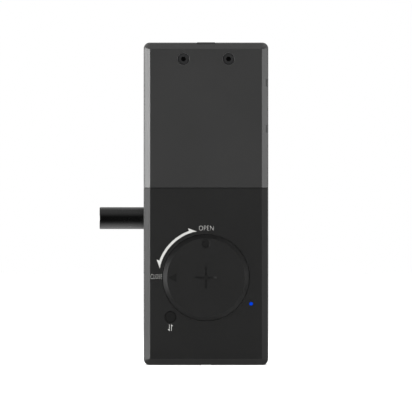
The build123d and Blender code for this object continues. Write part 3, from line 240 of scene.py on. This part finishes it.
metalLooks = {
    "bolt_steel": {"colour": (0.38, 0.38, 0.38), "metallic": 1.0, "gloss": 0.5, "roughness": 0.24,
                   "cloud": 9.0, "line": 0.25, "drawn": (40.0, 1.0, 1.0), "depth": 0.0015},
    "plain_steel": {"colour": (0.45, 0.45, 0.46), "metallic": 1.0, "gloss": 0.5, "roughness": 0.30,
                    "cloud": 6.0, "line": 0.15, "drawn": (1.0, 8.0, 8.0), "depth": 0.0015},
    "screw_steel": {"colour": (0.38, 0.38, 0.385), "metallic": 1.0, "gloss": 0.5, "roughness": 0.34,
                    "cloud": 2.0, "line": 0.12, "drawn": (1.0, 6.0, 1.0), "depth": 0.002},
    "black_screw_steel": {"colour": (0.034, 0.034, 0.035), "metallic": 0.4, "gloss": 0.6, "roughness": 0.40,
                          "cloud": 1.6, "line": 0.12, "drawn": (1.0, 6.0, 1.0), "depth": 0.003},
    "carriage_metal": {"colour": (0.40, 0.40, 0.41), "metallic": 1.0, "gloss": 0.5, "roughness": 0.46,
                       "cloud": 3.0, "line": 0.5, "drawn": (1.0, 1.0, 1.0), "depth": 0.010},
    "brass": {"colour": (0.66, 0.48, 0.20), "metallic": 1.0, "gloss": 0.5, "roughness": 0.28,
              "cloud": 2.0, "line": 0.10, "drawn": (1.0, 6.0, 1.0), "depth": 0.002},
    "magnet": {"colour": (0.60, 0.60, 0.59), "metallic": 1.0, "gloss": 0.5, "roughness": 0.18,
               "cloud": 2.0, "line": 0.4, "drawn": (1.0, 1.0, 1.0), "depth": 0.001},
    "motor_steel": {"colour": (0.50, 0.50, 0.50), "metallic": 1.0, "gloss": 0.5, "roughness": 0.32,
                    "cloud": 5.0, "line": 0.2, "drawn": (1.0, 14.0, 1.0), "depth": 0.002},
    "can_metal": {"colour": (0.55, 0.55, 0.56), "metallic": 1.0, "gloss": 0.5, "roughness": 0.28,
                  "cloud": 4.0, "line": 0.3, "drawn": (6.0, 1.0, 1.0), "depth": 0.001},
    "contact_metal": {"colour": (0.60, 0.58, 0.53), "metallic": 1.0, "gloss": 0.5, "roughness": 0.24,
                      "cloud": 3.0, "line": 0.2, "drawn": (1.0, 1.0, 10.0), "depth": 0.001},
}
finishes = {slot: mouldedPlastic(slot, look) for slot, look in plasticLooks.items()}
finishes.update({slot: workedMetal(slot, look) for slot, look in metalLooks.items()})
wordLook = {**plasticLooks["print_white"], "colour": (0.68, 0.68, 0.66)}  # brighter, because its strokes are thin
finishes["word_print"] = mouldedPlastic("word_print", wordLook)
slotOf = {part["node"]: part["material_slot"] for part in frame["record"]["subparts"]}

# Dial. The cross, pointer and spot are greys of their own, painted in the sunk marks as their light and
# shade: the cross lighter, the pointer and spot darker. The glint is a painted highlight, and the core, the
# spot's ring and the rim carry painted light and shade as shares of the plastic's colour. Places are counted
# from the dial's middle.
dialLook = {
    "faceReach": (20.9, 21.1), "sunk": (0.02, 0.2), "markDull": 0.3,
    # cross: a lighter grey painted in the cross's grooves as painted light; pointer: a darker grey painted in its
    # recess as painted shade; core: painted shade inside the cross
    "cross": 0.0195, "crossReach": (7.5, 8.5), "pointer": 0.0104, "core": 0.78, "coreReach": (1.4, 1.7),
    # glint: a painted highlight, a light grey at the end of the cross's right arm, and where it lies
    "glint": 0.075, "glintAcross": (3.4, 5.4), "glintHalf": (0.8, 1.2),
    # spot: a darker grey painted in the spot's dimple as painted shade
    "spot": 0.0095, "spotMiddle": (-0.3, 18.5), "spotOval": 0.85, "spotAbove": (13.0, 14.0),
    # spot's ring: painted shade round the spot's dimple, as a share of the plastic's colour
    "spotCore": (0.9, 1.7), "spotReach": (2.1, 2.4), "spotRing": 0.55,
    # rim: painted light and shade by side, darker at the top, the bottom and the right flank, lighter at the right
    # corners
    "rimDepth": (0.05, 0.15), "rimTop": 0.52, "rimLow": 0.74, "rimFlank": 0.48,
    "rimTopCorner": 0.82, "rimLowCorner": 1.05,
    "lowFade": (6.0, 20.0), "cornerFade": (-8.0, 8.0), "flankFade": (3.0, 14.0), "rightFade": (2.0, 13.0),
}


def markedDial(name, look):  # painted light and shade in the sunk marks, round the rim and the spot, and inside the cross; a painted glint
    plastic = plasticLooks["dial_black"]
    finish = mouldedPlastic(name, plastic)
    face, middle = corners(name)[0].y, middleOf(name)
    x, y, z = finish.axes(finish.place)
    up, depth = z - middle.z, y - face

    def share(key):
        return tone(plastic["colour"], look[key])

    onCross = finish.disc(x, up, *look["crossReach"])
    crossAndPointer = finish.blend(onCross, grey(look["pointer"]), grey(look["cross"]))
    # painted highlight at the end of the cross's right arm
    glint = finish.between(x, *look["glintAcross"]) * (1 - finish.between(abs(up), *look["glintHalf"]))
    crossWithPaintedGlint = finish.blend(glint, crossAndPointer, grey(look["glint"]))

    across, along = x - look["spotMiddle"][0], (up - look["spotMiddle"][1]) * look["spotOval"]
    # the spot: its painted grey inside, and painted shade in a ring round it
    spot = finish.blend(finish.disc(across, along, *look["spotCore"]), share("spotRing"), grey(look["spot"]))
    # painted light and shade of the sunk marks: the cross's and pointer's greys, and the spot's above them
    paintedMarkLightShade = finish.blend(finish.between(up, *look["spotAbove"]), crossWithPaintedGlint, spot)

    # painted light and shade round the rim: the left half from top to bottom, the right half by flank and corners
    left = finish.blend(finish.between(0 - up, *look["lowFade"]), share("rimTop"), share("rimLow"))
    corner = finish.blend(finish.between(up, *look["cornerFade"]), share("rimLowCorner"), share("rimTopCorner"))
    right = finish.blend(finish.between(abs(up), *look["flankFade"]), share("rimFlank"), corner)
    rimPaintedLightShade = finish.blend(finish.between(x, *look["rightFade"]), left, right)

    onFace = finish.disc(x, up, *look["faceReach"])
    sunk = finish.between(depth, *look["sunk"]) * onFace
    rim = finish.between(depth, *look["rimDepth"]) * (1 - onFace)
    # painted shade on the face inside the cross, where its arms meet
    withCorePaintedShade = finish.blend(finish.disc(x, up, *look["coreReach"]), finish.colour, share("core"))
    # painted shade on the face round the spot
    ringed = finish.blend(finish.disc(across, along, *look["spotReach"]), withCorePaintedShade, share("spotRing"))
    finish.wear("Base Color", finish.blend(sunk, finish.blend(rim, ringed, rimPaintedLightShade), paintedMarkLightShade))
    finish.wear("Roughness", finish.dullness + sunk * look["markDull"])
    return finish


# Cover screws: the pair's box reaches one head's radius past each screw's middle
screwLook = {
    # dark: a near black painted in the hexagon sockets as their shade
    "headRadius": 3.0, "socketReach": (1.6, 1.7), "socketDepth": (0.1, 0.5), "dark": 0.003, "socketDull": 0.5,
}


def socketScrew(name, look):  # hexagon sockets, with painted shade inside
    finish = workedMetal(name, metalLooks["black_screw_steel"])
    low, high = corners(name)
    x, y, z = finish.axes(finish.place)
    aside, up, depth = abs(x) - (high.x - look["headRadius"]), z - middleOf(name).z, y - low.y
    sunk = finish.between(depth, *look["socketDepth"]) * finish.disc(aside, up, *look["socketReach"])
    # painted shade in the sockets
    finish.wear("Base Color", finish.blend(sunk, finish.colour, grey(look["dark"])))
    finish.wear("Roughness", finish.dullness + sunk * look["socketDull"])
    return finish


# Front shells. An inset is counted inwards from the shell's outline, a depth from its face.
shellLook = {
    # the first colour is a painted highlight along the rounded shoulder and at the top corners
    "shoulder": (0.06, 0.06, 0.059), "shoulderRise": (2.8, 3.5), "shoulderFall": (3.5, 5.0),
    "outerInset": (0.9, 0.6), "cornerInset": (4.0, 0.8), "bevelInset": (3.6, 3.2),
    "seatDepth": (0.02, 0.1), "ring": 0.68, "ringReach": (3.3, 3.6),  # a dark ring round the button
}
shellLooks = {
    "front_cover": {  # its seat is the floor of the gap round the dial
        **shellLook, "seatAside": 0.0, "seatHeight": middleOf("dial_knob").z, "seatReach": (24.5, 24.6),
        # seat: painted light on the floor of the gap, lifting its shade
        "seat": 0.045, "rightDull": 0.2,
    },
    "battery_cover": {  # its seats are the screws' counterbores
        **shellLook, "seatAside": corners("cover_screws")[1].x - screwLook["headRadius"],
        # seat: painted light in the counterbores, lifting their shade
        "seatHeight": middleOf("cover_screws").z, "seatReach": (3.5, 3.6), "seat": 0.08, "rightDull": 0.0,
    },
}


def shellFinish(name, look):  # painted highlight along the rounded shoulder and at the top corners, painted light in the seats
    plastic = plasticLooks[slotOf[name]]
    finish = mouldedPlastic(name, plastic)
    low, high = corners(name)
    side, end, button = high.x, max(-low.z, high.z), middleOf("sync_button")
    x, y, z = finish.axes(finish.place)
    depth = y - low.y

    def past(value, edge, inset):
        return finish.between(value, edge - look[inset][0], edge - look[inset][1])

    ring = finish.disc(x - button.x, z - button.z, *look["ringReach"])
    ringed = finish.blend(ring, finish.colour, tone(plastic["colour"], look["ring"]))
    # painted light in the seats, lifting the shade in these recesses
    seat = finish.disc(abs(x) - look["seatAside"], z - look["seatHeight"], *look["seatReach"])
    withSeatPaintedLight = finish.blend(seat * finish.between(depth, *look["seatDepth"]), ringed, grey(look["seat"]))
    outer = past(abs(x), side, "outerInset") + past(abs(z), end, "outerInset")
    rise, fall = finish.between(depth, *look["shoulderRise"]), finish.between(depth, *look["shoulderFall"])
    # painted highlight along the rounded shoulder, near the outline
    shoulder = rise * (1 - fall) * outer
    withEdgeHighlight = finish.blend(shoulder, withSeatPaintedLight, tone(look["shoulder"]))
    # painted highlight at the top corners
    corner = past(abs(x), side, "cornerInset") * past(z, end, "cornerInset")
    finish.wear("Base Color", finish.blend(corner, withEdgeHighlight, tone(look["shoulder"])))
    finish.wear("Roughness", finish.dullness + past(x, side, "bevelInset") * look["rightDull"])
    return finish


# dark: painted shade on the chamfer at the bolt's nose
boltLook = {"chamferFrom": (0.01, 0.04), "chamferTo": (0.3, 0.35), "dark": 0.008}


def boltFinish(name, look):  # drawn bar, with painted shade on its turned chamfer
    finish = workedMetal(name, metalLooks["bolt_steel"])
    x, y, z = finish.axes(finish.place)
    length = x - corners(name)[0].x
    # painted shade on the chamfer
    chamferPaintedShade = finish.between(length, *look["chamferFrom"]) * (1 - finish.between(length, *look["chamferTo"]))
    finish.wear("Base Color", finish.blend(chamferPaintedShade, finish.colour, grey(look["dark"])))
    return finish


housingLook = {"tongueRoot": (2.3, 2.4)}  # how far behind the tongues' front they end


def tonguedHousing(name, look):  # black housing, whose tongues have the battery cover's grey
    black, pale = plasticLooks["case_black"], plasticLooks["cover_grey"]
    finish = mouldedPlastic(name, black)
    x, y, z = finish.axes(finish.place)
    tongues = 1 - finish.between(y - corners(name)[0].y, *look["tongueRoot"])
    finish.wear("Base Color", finish.blend(tongues, finish.colour, tone(pale["colour"])))
    finish.wear("Roughness", finish.dullness + (pale["roughness"] - black["roughness"]) * tongues)
    return finish


# Status light: the lens, and the chip behind it
lensLooks = {
    "light_blue": {"lit": (0.6325, 1.15), "oval": 1.15, "strength": 1.0, "speck": 0.4, "depth": 0.002,
                   "colour": (0.0, 0.01, 0.04), "middle": (0.0, 0.042, 0.74), "edge": (0.0, 0.010, 0.11)},
    "led": {"lit": (0.66, 1.2), "oval": 1.15, "strength": 0.6, "speck": 0.4, "depth": 0.002,
            "colour": (0.6, 0.65, 0.8), "middle": (0.1, 0.3, 1.0), "edge": (0.3, 0.4, 0.6)},
}


def lensFinish(name, look):  # clear lens, brightest over the light chip behind its middle
    finish = Finish(name, {"Roughness": 0.12, "Coat Weight": 0.6, "Emission Strength": look["strength"]})
    middle = middleOf("light_pipe")
    x, y, z = finish.axes(finish.place)
    aside, up = x - middle.x, (z - middle.z) * look["oval"]
    speck = finish.noise(look["speck"])
    finish.wear("Base Color", finish.blend(speck, tone(look["colour"], 0.8), tone(look["colour"])))
    lit = finish.disc(aside, up, *look["lit"])
    finish.wear("Emission Color", finish.blend(lit, tone(look["edge"]), tone(look["middle"])))
    finish.relief(speck, look["depth"])
    return finish


boardLook = {
    "mask": (0.010, 0.060, 0.026), "overCopper": (0.025, 0.115, 0.05), "roughness": 0.32, "copperDull": 0.08,
    "pitch": 0.9, "bend": 3.0, "field": 9.0, "fieldEdge": (0.48, 0.52), "trackEdge": (0.468, 0.54),
    "copperHeight": 0.02,
}


def boardFinish(name, look):  # solder mask over copper tracks, which run up in some fields and across in others
    finish = Finish(name, {"Specular IOR Level": 0.55})
    x, y, z = finish.axes(finish.place)
    wander = finish.noise(look["bend"], detail=1.0) * look["bend"]

    def tracks(value):
        waves = finish.add("ShaderNodeMath", {"operation": "PINGPONG"}, {0: value, 1: look["pitch"]})
        return finish.between(waves, *look["trackEdge"])

    field = finish.between(finish.noise(look["field"], detail=0.0), *look["fieldEdge"])
    copper = tracks(x + wander) * field + tracks(z - wander) * (1 - field)
    finish.wear("Base Color", finish.blend(copper, tone(look["mask"]), tone(look["overCopper"])))
    finish.wear("Roughness", look["roughness"] + copper * look["copperDull"])
    finish.relief(copper, look["copperHeight"])
    return finish


cellLook = {  # foot and head are the lengths of the bare ends, band the height where the sleeve turns pale
    "foot": 0.8, "head": 2.6, "endFade": 0.3, "band": 36.0, "bandFade": 0.2,
    "metal": (0.60, 0.59, 0.56), "colour": (0.055, 0.060, 0.070), "bandColour": (0.42, 0.43, 0.44),
    "sleeveMetallic": 0.25, "roughness": 0.24, "scuff": 1.2, "scuffStretch": (1.0, 1.0, 6.0), "scuffDull": 0.16,
    "sleeveHeight": 2.0, "depth": 0.01,
}


def cellFinish(name, look):  # printed sleeve between bare nickel ends
    finish = Finish(name, {"Specular IOR Level": 0.5})
    low, high = corners(name)
    x, y, z = finish.axes(finish.place)
    foot, head = low.z + look["foot"], high.z - look["head"]
    bareHead = finish.between(z, head - look["endFade"], head)
    sleeve = finish.between(z, foot, foot + look["endFade"]) * (1 - bareHead)
    bandStart = low.z + look["band"]
    band = finish.between(z, bandStart, bandStart + look["bandFade"])
    scuff = finish.noise(look["scuff"], detail=4.0, stretch=look["scuffStretch"])
    printed = finish.blend(band, tone(look["colour"]), tone(look["bandColour"]))
    finish.wear("Base Color", finish.blend(sleeve, tone(look["metal"]), printed))
    finish.wear("Metallic", 1 - sleeve * (1 - look["sleeveMetallic"]))
    finish.wear("Roughness", look["roughness"] + scuff * look["scuffDull"])
    finish.relief(scuff + sleeve * look["sleeveHeight"], look["depth"])
    return finish


leadLook = {
    "left": (0.30, 0.012, 0.010), "right": (0.012, 0.012, 0.013), "seam": 0.01,
    "roughness": 0.38, "mottle": 0.8, "mottleDull": 0.12, "depth": 0.01,
}


def leadFinish(name, look):  # one red lead and one black, told apart by their place across the pair
    finish = Finish(name, {"Specular IOR Level": 0.45})
    middle = middleOf(name).x
    x, y, z = finish.axes(finish.place)
    right = finish.between(x, middle - look["seam"], middle + look["seam"])
    mottle = finish.noise(look["mottle"])
    finish.wear("Base Color", finish.blend(right, tone(look["left"]), tone(look["right"])))
    finish.wear("Roughness", look["roughness"] + mottle * look["mottleDull"])
    finish.relief(mottle, look["depth"])
    return finish


finishes["board"] = boardFinish("board", boardLook)
for slot, look in lensLooks.items():
    finishes[slot] = lensFinish(slot, look)
ownFinishes = {  # a node's or a slot's own way of being finished
    "dial_knob": (markedDial, dialLook), "cover_screws": (socketScrew, screwLook),
    "lock_bolt": (boltFinish, boltLook), "rear_housing": (tonguedHousing, housingLook),
    "cell_wrap": (cellFinish, cellLook), "wire": (leadFinish, leadLook),
    **{node: (shellFinish, look) for node, look in shellLooks.items()},
}
for node, piece in frame["nodes"].items():
    slot = slotOf[node]
    make, look = ownFinishes.get(node) or ownFinishes.get(slot) or (None, None)
    finish = make(node, look) if make else finishes[slot]
    for place in piece.material_slots:
        place.material = finish.material
print("finishes made:", len(bpy.data.materials))


# Modelling helpers

def select(piece):  # leaves edit mode, and nothing else is selected
    if bpy.context.object and bpy.context.object.mode != "OBJECT":
        bpy.ops.object.mode_set(mode="OBJECT")
    bpy.ops.object.select_all(action="DESELECT")
    if piece:
        piece.select_set(True)
        bpy.context.view_layer.objects.active = piece


def pick(piece, wanted):  # selects vertices by their place, in edit mode
    bpy.ops.object.mode_set(mode="EDIT")
    bpy.ops.mesh.select_mode(type="VERT")
    bpy.ops.mesh.select_all(action="DESELECT")
    bpy.ops.object.mode_set(mode="OBJECT")
    for vertex in piece.data.vertices:
        vertex.select = wanted(vertex.co)
    bpy.ops.object.mode_set(mode="EDIT")


closeBy = 0.02 * mm  # a vertex this near to a point is the one that is meant


def near(*points):
    return lambda place: any((place - point).length < closeBy for point in points)


def growPoint(piece, start, end):
    pick(piece, near(start))
    bpy.ops.mesh.extrude_vertices_move(TRANSFORM_OT_translate={"value": end - start})


def fillBetween(piece, points):
    pick(piece, near(*points))
    bpy.ops.mesh.edge_face_add()


def settle(piece):  # turns, sizes and places go into the mesh
    select(piece)
    bpy.ops.object.transform_apply(location=True, rotation=True, scale=True)


def dress(piece, name, body, slot, look=None):
    piece.name = name
    piece.data.name = name
    piece.data.materials.clear()
    piece.data.materials.append(finishes[look or slot].material)
    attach(piece, body)


printLook = {"proud": 0.03}  # thickness of the screen print
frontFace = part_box("front_cover")[0].y
printFace = frontFace - printLook["proud"] * mm


def onFront(across, up):  # a place on the print's face, from millimetres
    return Vector((across * mm, printFace, up * mm))


def thicken(piece):  # a flat print is turned to face forwards and gets its thickness, back to the cover
    bpy.ops.object.mode_set(mode="EDIT")
    bpy.ops.mesh.select_all(action="SELECT")
    bpy.ops.mesh.remove_doubles(threshold=0.001 * mm)
    bpy.ops.object.mode_set(mode="OBJECT")
    if sum(face.normal.y * face.area for face in piece.data.polygons) > 0:
        bpy.ops.object.mode_set(mode="EDIT")
        bpy.ops.mesh.flip_normals()
        bpy.ops.object.mode_set(mode="OBJECT")
    solid = piece.modifiers.new("Thickness", "SOLIDIFY")
    solid.thickness = printLook["proud"] * mm
    solid.offset = -1.0
    bpy.ops.object.modifier_apply(modifier=solid.name)


# Words beside the dial, set at one height, thinned, and then drawn out to their own sizes
lettering = {"height": 3.0, "smoothness": 6}
words = {
    "openWord": {"says": "OPEN", "middle": (0.15, -13.2), "size": (7.8, 2.5), "thinner": 0.095, "spread": 1.1},
    "closeWord": {"says": "CLOSE", "middle": (-27.03, -39.62), "size": (6.2, 2.5), "thinner": 0.10, "spread": 1.2},
}


def printWord(name, look):
    select(None)
    bpy.ops.object.text_add(rotation=(math.pi / 2, 0, 0))
    word = bpy.context.object
    word.data.body = look["says"]
    word.data.size = lettering["height"] * mm
    word.data.resolution_u = lettering["smoothness"]
    word.data.offset = -look["thinner"] * mm
    word.data.space_character = look["spread"]
    bpy.ops.object.convert(target="MESH")
    settle(word)
    places = [vertex.co for vertex in word.data.vertices]
    low = Vector([min(place[axis] for place in places) for axis in range(3)])
    high = Vector([max(place[axis] for place in places) for axis in range(3)])
    width, height = (side * mm for side in look["size"])
    word.scale = (width / (high.x - low.x), 1, height / (high.z - low.z))
    drawnMiddle = (low + high) / 2 * word.scale
    settle(word)
    word.location = onFront(*look["middle"]) - drawnMiddle
    settle(word)
    thicken(word)
    dress(word, name, "case", "print_white", "word_print")


for name, look in words.items():
    printWord(name, look)
print("words printed")

# Curved arrow: angles are counted from twelve o'clock to the left
arrow = {
    "inner": 25.76, "outer": 27.08, "start": 20.0, "end": 70.0, "steps": 144,
    "barb": 28.6, "tipReach": 8.9, "tipRadius": 25.6,
}
dialCentre = onFront(middleOf("dial_knob").x, middleOf("dial_knob").z)


def roundDial(radius, angle):
    turn = math.radians(angle)
    return dialCentre + Vector((-math.sin(turn), 0, math.cos(turn))) * radius * mm


def printArrow(look):
    select(None)
    bpy.ops.mesh.primitive_circle_add(vertices=look["steps"], radius=look["outer"] * mm,
                                      location=dialCentre, rotation=(math.pi / 2, 0, 0))
    piece = bpy.context.object
    settle(piece)
    middle = roundDial(look["outer"], (look["start"] + look["end"]) / 2)
    reach = (roundDial(look["outer"], look["start"]) - middle).length + closeBy
    pick(piece, lambda place: (place - middle).length > reach)
    bpy.ops.mesh.delete(type="VERT")
    bpy.ops.mesh.select_all(action="SELECT")
    bpy.ops.mesh.extrude_edges_move()
    bpy.ops.transform.resize(value=(look["inner"] / look["outer"],) * 3, center_override=dialCentre)
    for angle, way in ((look["start"], -1), (look["end"], 1)):
        inner, outer = roundDial(look["inner"], angle), roundDial(look["outer"], angle)
        barb = roundDial(look["barb"], angle)
        waist = roundDial(look["inner"], angle + way * look["tipReach"] / 2)
        tip = roundDial(look["tipRadius"], angle + way * look["tipReach"])
        growPoint(piece, outer, barb)
        growPoint(piece, inner, waist)
        growPoint(piece, waist, tip)
        fillBetween(piece, (inner, outer, barb, tip, waist))
    thicken(piece)
    dress(piece, "turnArrow", "case", "print_white")


printArrow(arrow)
print("arrow printed")

# Sign under the button: a pair of arrows, the second turned half round
sign = {
    "middle": (-19.42, -67.5), "stroke": 0.25, "length": 3.5, "apart": 1.1,
    "barb": 0.8, "barbLength": 0.9, "point": 0.6,  # point: how far across the stroke the tip is drawn in
}


def printSign(look):
    middle = onFront(*look["middle"])
    select(None)
    bpy.ops.mesh.primitive_plane_add(size=1.0, rotation=(math.pi / 2, 0, 0))
    piece = bpy.context.object
    piece.scale = (look["stroke"] * mm, look["length"] * mm, 1)
    piece.location = middle - Vector((look["apart"] / 2 * mm, 0, 0))
    settle(piece)
    left = middle.x - (look["apart"] + look["stroke"]) / 2 * mm
    bottom = middle.z - look["length"] / 2 * mm
    foot = Vector((left, printFace, bottom))
    neck = Vector((left, printFace, bottom + look["barbLength"] * mm))
    barb = neck - Vector((look["barb"] * mm, 0, 0))
    # the stroke's left side is divided at the neck, and the head grows out of it
    bpy.ops.object.mode_set(mode="EDIT")
    bpy.ops.mesh.select_all(action="SELECT")
    bpy.ops.mesh.bisect(plane_co=neck, plane_no=(0, 0, 1))
    growPoint(piece, neck, barb)
    fillBetween(piece, (neck, barb, foot))
    pick(piece, near(foot))
    bpy.ops.transform.translate(value=(look["stroke"] * look["point"] * mm, 0, 0))
    # the second arrow is a copy, turned round the sign's middle
    select(piece)
    bpy.ops.object.duplicate()
    bpy.ops.object.mode_set(mode="EDIT")
    bpy.ops.mesh.select_all(action="SELECT")
    bpy.ops.transform.rotate(value=math.pi, orient_axis="Y", center_override=middle)
    bpy.ops.object.mode_set(mode="OBJECT")
    piece.select_set(True)
    bpy.context.view_layer.objects.active = piece
    bpy.ops.object.join()
    thicken(piece)
    dress(piece, "syncSign", "case", "print_white")


printSign(sign)
print("sign printed")

# Battery springs: one coil is wound and copied to each cell. Steps are for one turn, sides round the wire.
springs = {"cells": 4, "radius": 2.65, "wire": 0.35, "turns": 5, "length": 5.0, "steps": 20, "sides": 8}


def windSprings(look):
    select(None)
    wire = look["wire"] * mm
    bpy.ops.mesh.primitive_circle_add(vertices=look["sides"], radius=wire,
                                      location=(look["radius"] * mm, 0, wire), rotation=(math.pi / 2, 0, 0))
    coil = bpy.context.object
    settle(coil)
    winding = coil.modifiers.new("Winding", "SCREW")
    winding.axis = "Z"
    winding.iterations = look["turns"]
    winding.screw_offset = (look["length"] * mm - 2 * wire) / look["turns"]
    winding.steps = look["steps"]
    winding.use_merge_vertices = False
    bpy.ops.object.modifier_apply(modifier=winding.name)
    bpy.ops.object.mode_set(mode="EDIT")
    bpy.ops.mesh.select_all(action="SELECT")
    bpy.ops.mesh.fill_holes(sides=0)
    bpy.ops.mesh.normals_make_consistent(inside=False)
    bpy.ops.object.mode_set(mode="OBJECT")
    springLow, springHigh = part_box("battery_springs")
    copies = []
    for number in range(1, look["cells"] + 1):
        cellLow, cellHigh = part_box("battery_cell_%d" % number)
        standsOnSpring = cellLow.z > springLow.z + mm  # every other cell is turned over
        foot = springLow.z if standsOnSpring else cellHigh.z
        select(coil)
        bpy.ops.object.duplicate()
        spring = bpy.context.object
        spring.location = ((cellLow.x + cellHigh.x) / 2, (springLow.y + springHigh.y) / 2, foot)
        settle(spring)
        copies.append(spring)
    bpy.data.objects.remove(coil)
    select(copies[0])
    for spring in copies:
        spring.select_set(True)
    bpy.ops.object.join()
    bpy.ops.object.shade_smooth()
    dress(copies[0], "springCoils", "case", "contact_metal")
    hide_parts("battery_springs")


windSprings(springs)
print("springs wound")

# Studio, in metres: pale floor, soft boxes and a pale surround
studio = {
    "floorSize": 16.0, "floorColour": (0.90, 0.90, 0.895), "floorGlow": 0.2,  # the glow keeps it white far off
    "paperCloud": 0.4, "paperShade": 0.985, "paperRoughness": 0.8, "paperDull": 0.1,
    "surround": 1.0, "fill": 1.10, "front": 0.009,
    "above": 0.085, "aboveFade": (0.2, 1.05), "behind": 0.28, "behindFade": (0.0, 0.95),
    "below": 0.26, "belowFade": (0.2, 1.0), "belowBack": (-0.98, 0.2),
}
softBoxes = {
    "frontBox": {"place": (0.0, -2.5, 0.0), "size": (2.2, 2.2), "power": 10.0, "mirrored": False},
    "leftBox": {"place": (-1.0, -0.04, -0.01), "size": (0.42, 0.50), "power": 7.4, "mirrored": True},
    "rightBox": {"place": (1.0, -0.04, -0.01), "size": (0.42, 0.50), "power": 2.27, "mirrored": True},
    "topBox": {"place": (0.0, 0.10, 1.1), "size": (1.2, 0.8), "power": 14.0, "mirrored": False},
    "lowBox": {"place": (0.0, 0.10, -1.1), "size": (1.2, 0.8), "power": 12.5, "mirrored": False},
}


def layFloor(look):
    select(None)
    bpy.ops.mesh.primitive_plane_add(size=look["floorSize"], location=(0, 0, cadBox[0].z))
    floor = bpy.context.object
    settle(floor)
    floor.name = "floor"
    glow = {"Emission Color": grey(1.0), "Emission Strength": look["floorGlow"]}
    paper = Finish("floor_paper", {"Specular IOR Level": 0.1, **glow})
    cloud = paper.noise(look["paperCloud"] / mm)
    shaded = tone(look["floorColour"], look["paperShade"])
    paper.wear("Base Color", paper.blend(cloud, shaded, tone(look["floorColour"])))
    paper.wear("Roughness", look["paperRoughness"] + cloud * look["paperDull"])
    floor.data.materials.append(paper.material)
    floor.visible_glossy = False
    floor.visible_shadow = False


def hangSoftBox(name, look):
    select(None)
    place = Vector(look["place"])
    aim = (-place).to_track_quat("-Z", "Y").to_euler()
    bpy.ops.object.light_add(type="AREA", location=place, rotation=aim)
    box = bpy.context.object
    box.name = name
    box.data.shape = "RECTANGLE"
    box.data.size, box.data.size_y = look["size"]
    box.data.energy = look["power"]
    box.visible_camera = False
    box.visible_glossy = look["mirrored"]


def paintSurround(look):  # white to the eye, even as light; in reflections darkest in front and lightest behind
    world = bpy.data.worlds.new("surround")
    bpy.context.scene.world = world
    world.use_nodes = True
    bench = Bench(world.node_tree)
    seen = bench.add("ShaderNodeLightPath", {}, {}, "Is Camera Ray")
    scattered = bench.add("ShaderNodeLightPath", {}, {}, "Is Diffuse Ray")
    x, y, z = bench.axes(bench.add("ShaderNodeTexCoord", {}, {}, "Generated"))
    below = bench.between(0 - z, *look["belowFade"]) * bench.between(y, *look["belowBack"]) * look["below"]
    above = bench.between(z, *look["aboveFade"]) * look["above"]
    behind = bench.between(y, *look["behindFade"]) * look["behind"]
    mirror = below + above + behind + look["front"]
    backdrop = world.node_tree.nodes["Background"]
    backdrop.inputs["Color"].default_value = grey(1.0)
    strength = mirror + seen * (look["surround"] - mirror) + scattered * (look["fill"] - mirror)
    bench.feed(backdrop.inputs["Strength"], strength)


layFloor(studio)
for name, look in softBoxes.items():
    hangSoftBox(name, look)
paintSurround(studio)
bpy.context.scene.view_settings.view_transform = "Standard"

# Camera, in metres: straight in front, from far off, as the photograph
view = {
    "distance": 6.0, "frameWidth": 0.22475, "height": -0.00117, "sensor": 36.0,
    "nearest": 0.01, "farthest": 100.0,
}
outlineDepth = frontFace + shellLook["shoulderRise"][1] * mm  # behind the front's bevel, where the case is widest
select(None)
stand = (0, outlineDepth - view["distance"], view["height"])
bpy.ops.object.camera_add(location=stand, rotation=(math.pi / 2, 0, 0))
camera = bpy.context.object
camera.data.sensor_width = view["sensor"]
camera.data.lens = view["sensor"] * view["distance"] / view["frameWidth"]
camera.data.clip_start = view["nearest"]
camera.data.clip_end = view["farthest"]
bpy.context.scene.camera = camera
select(None)
print("studio and camera set")
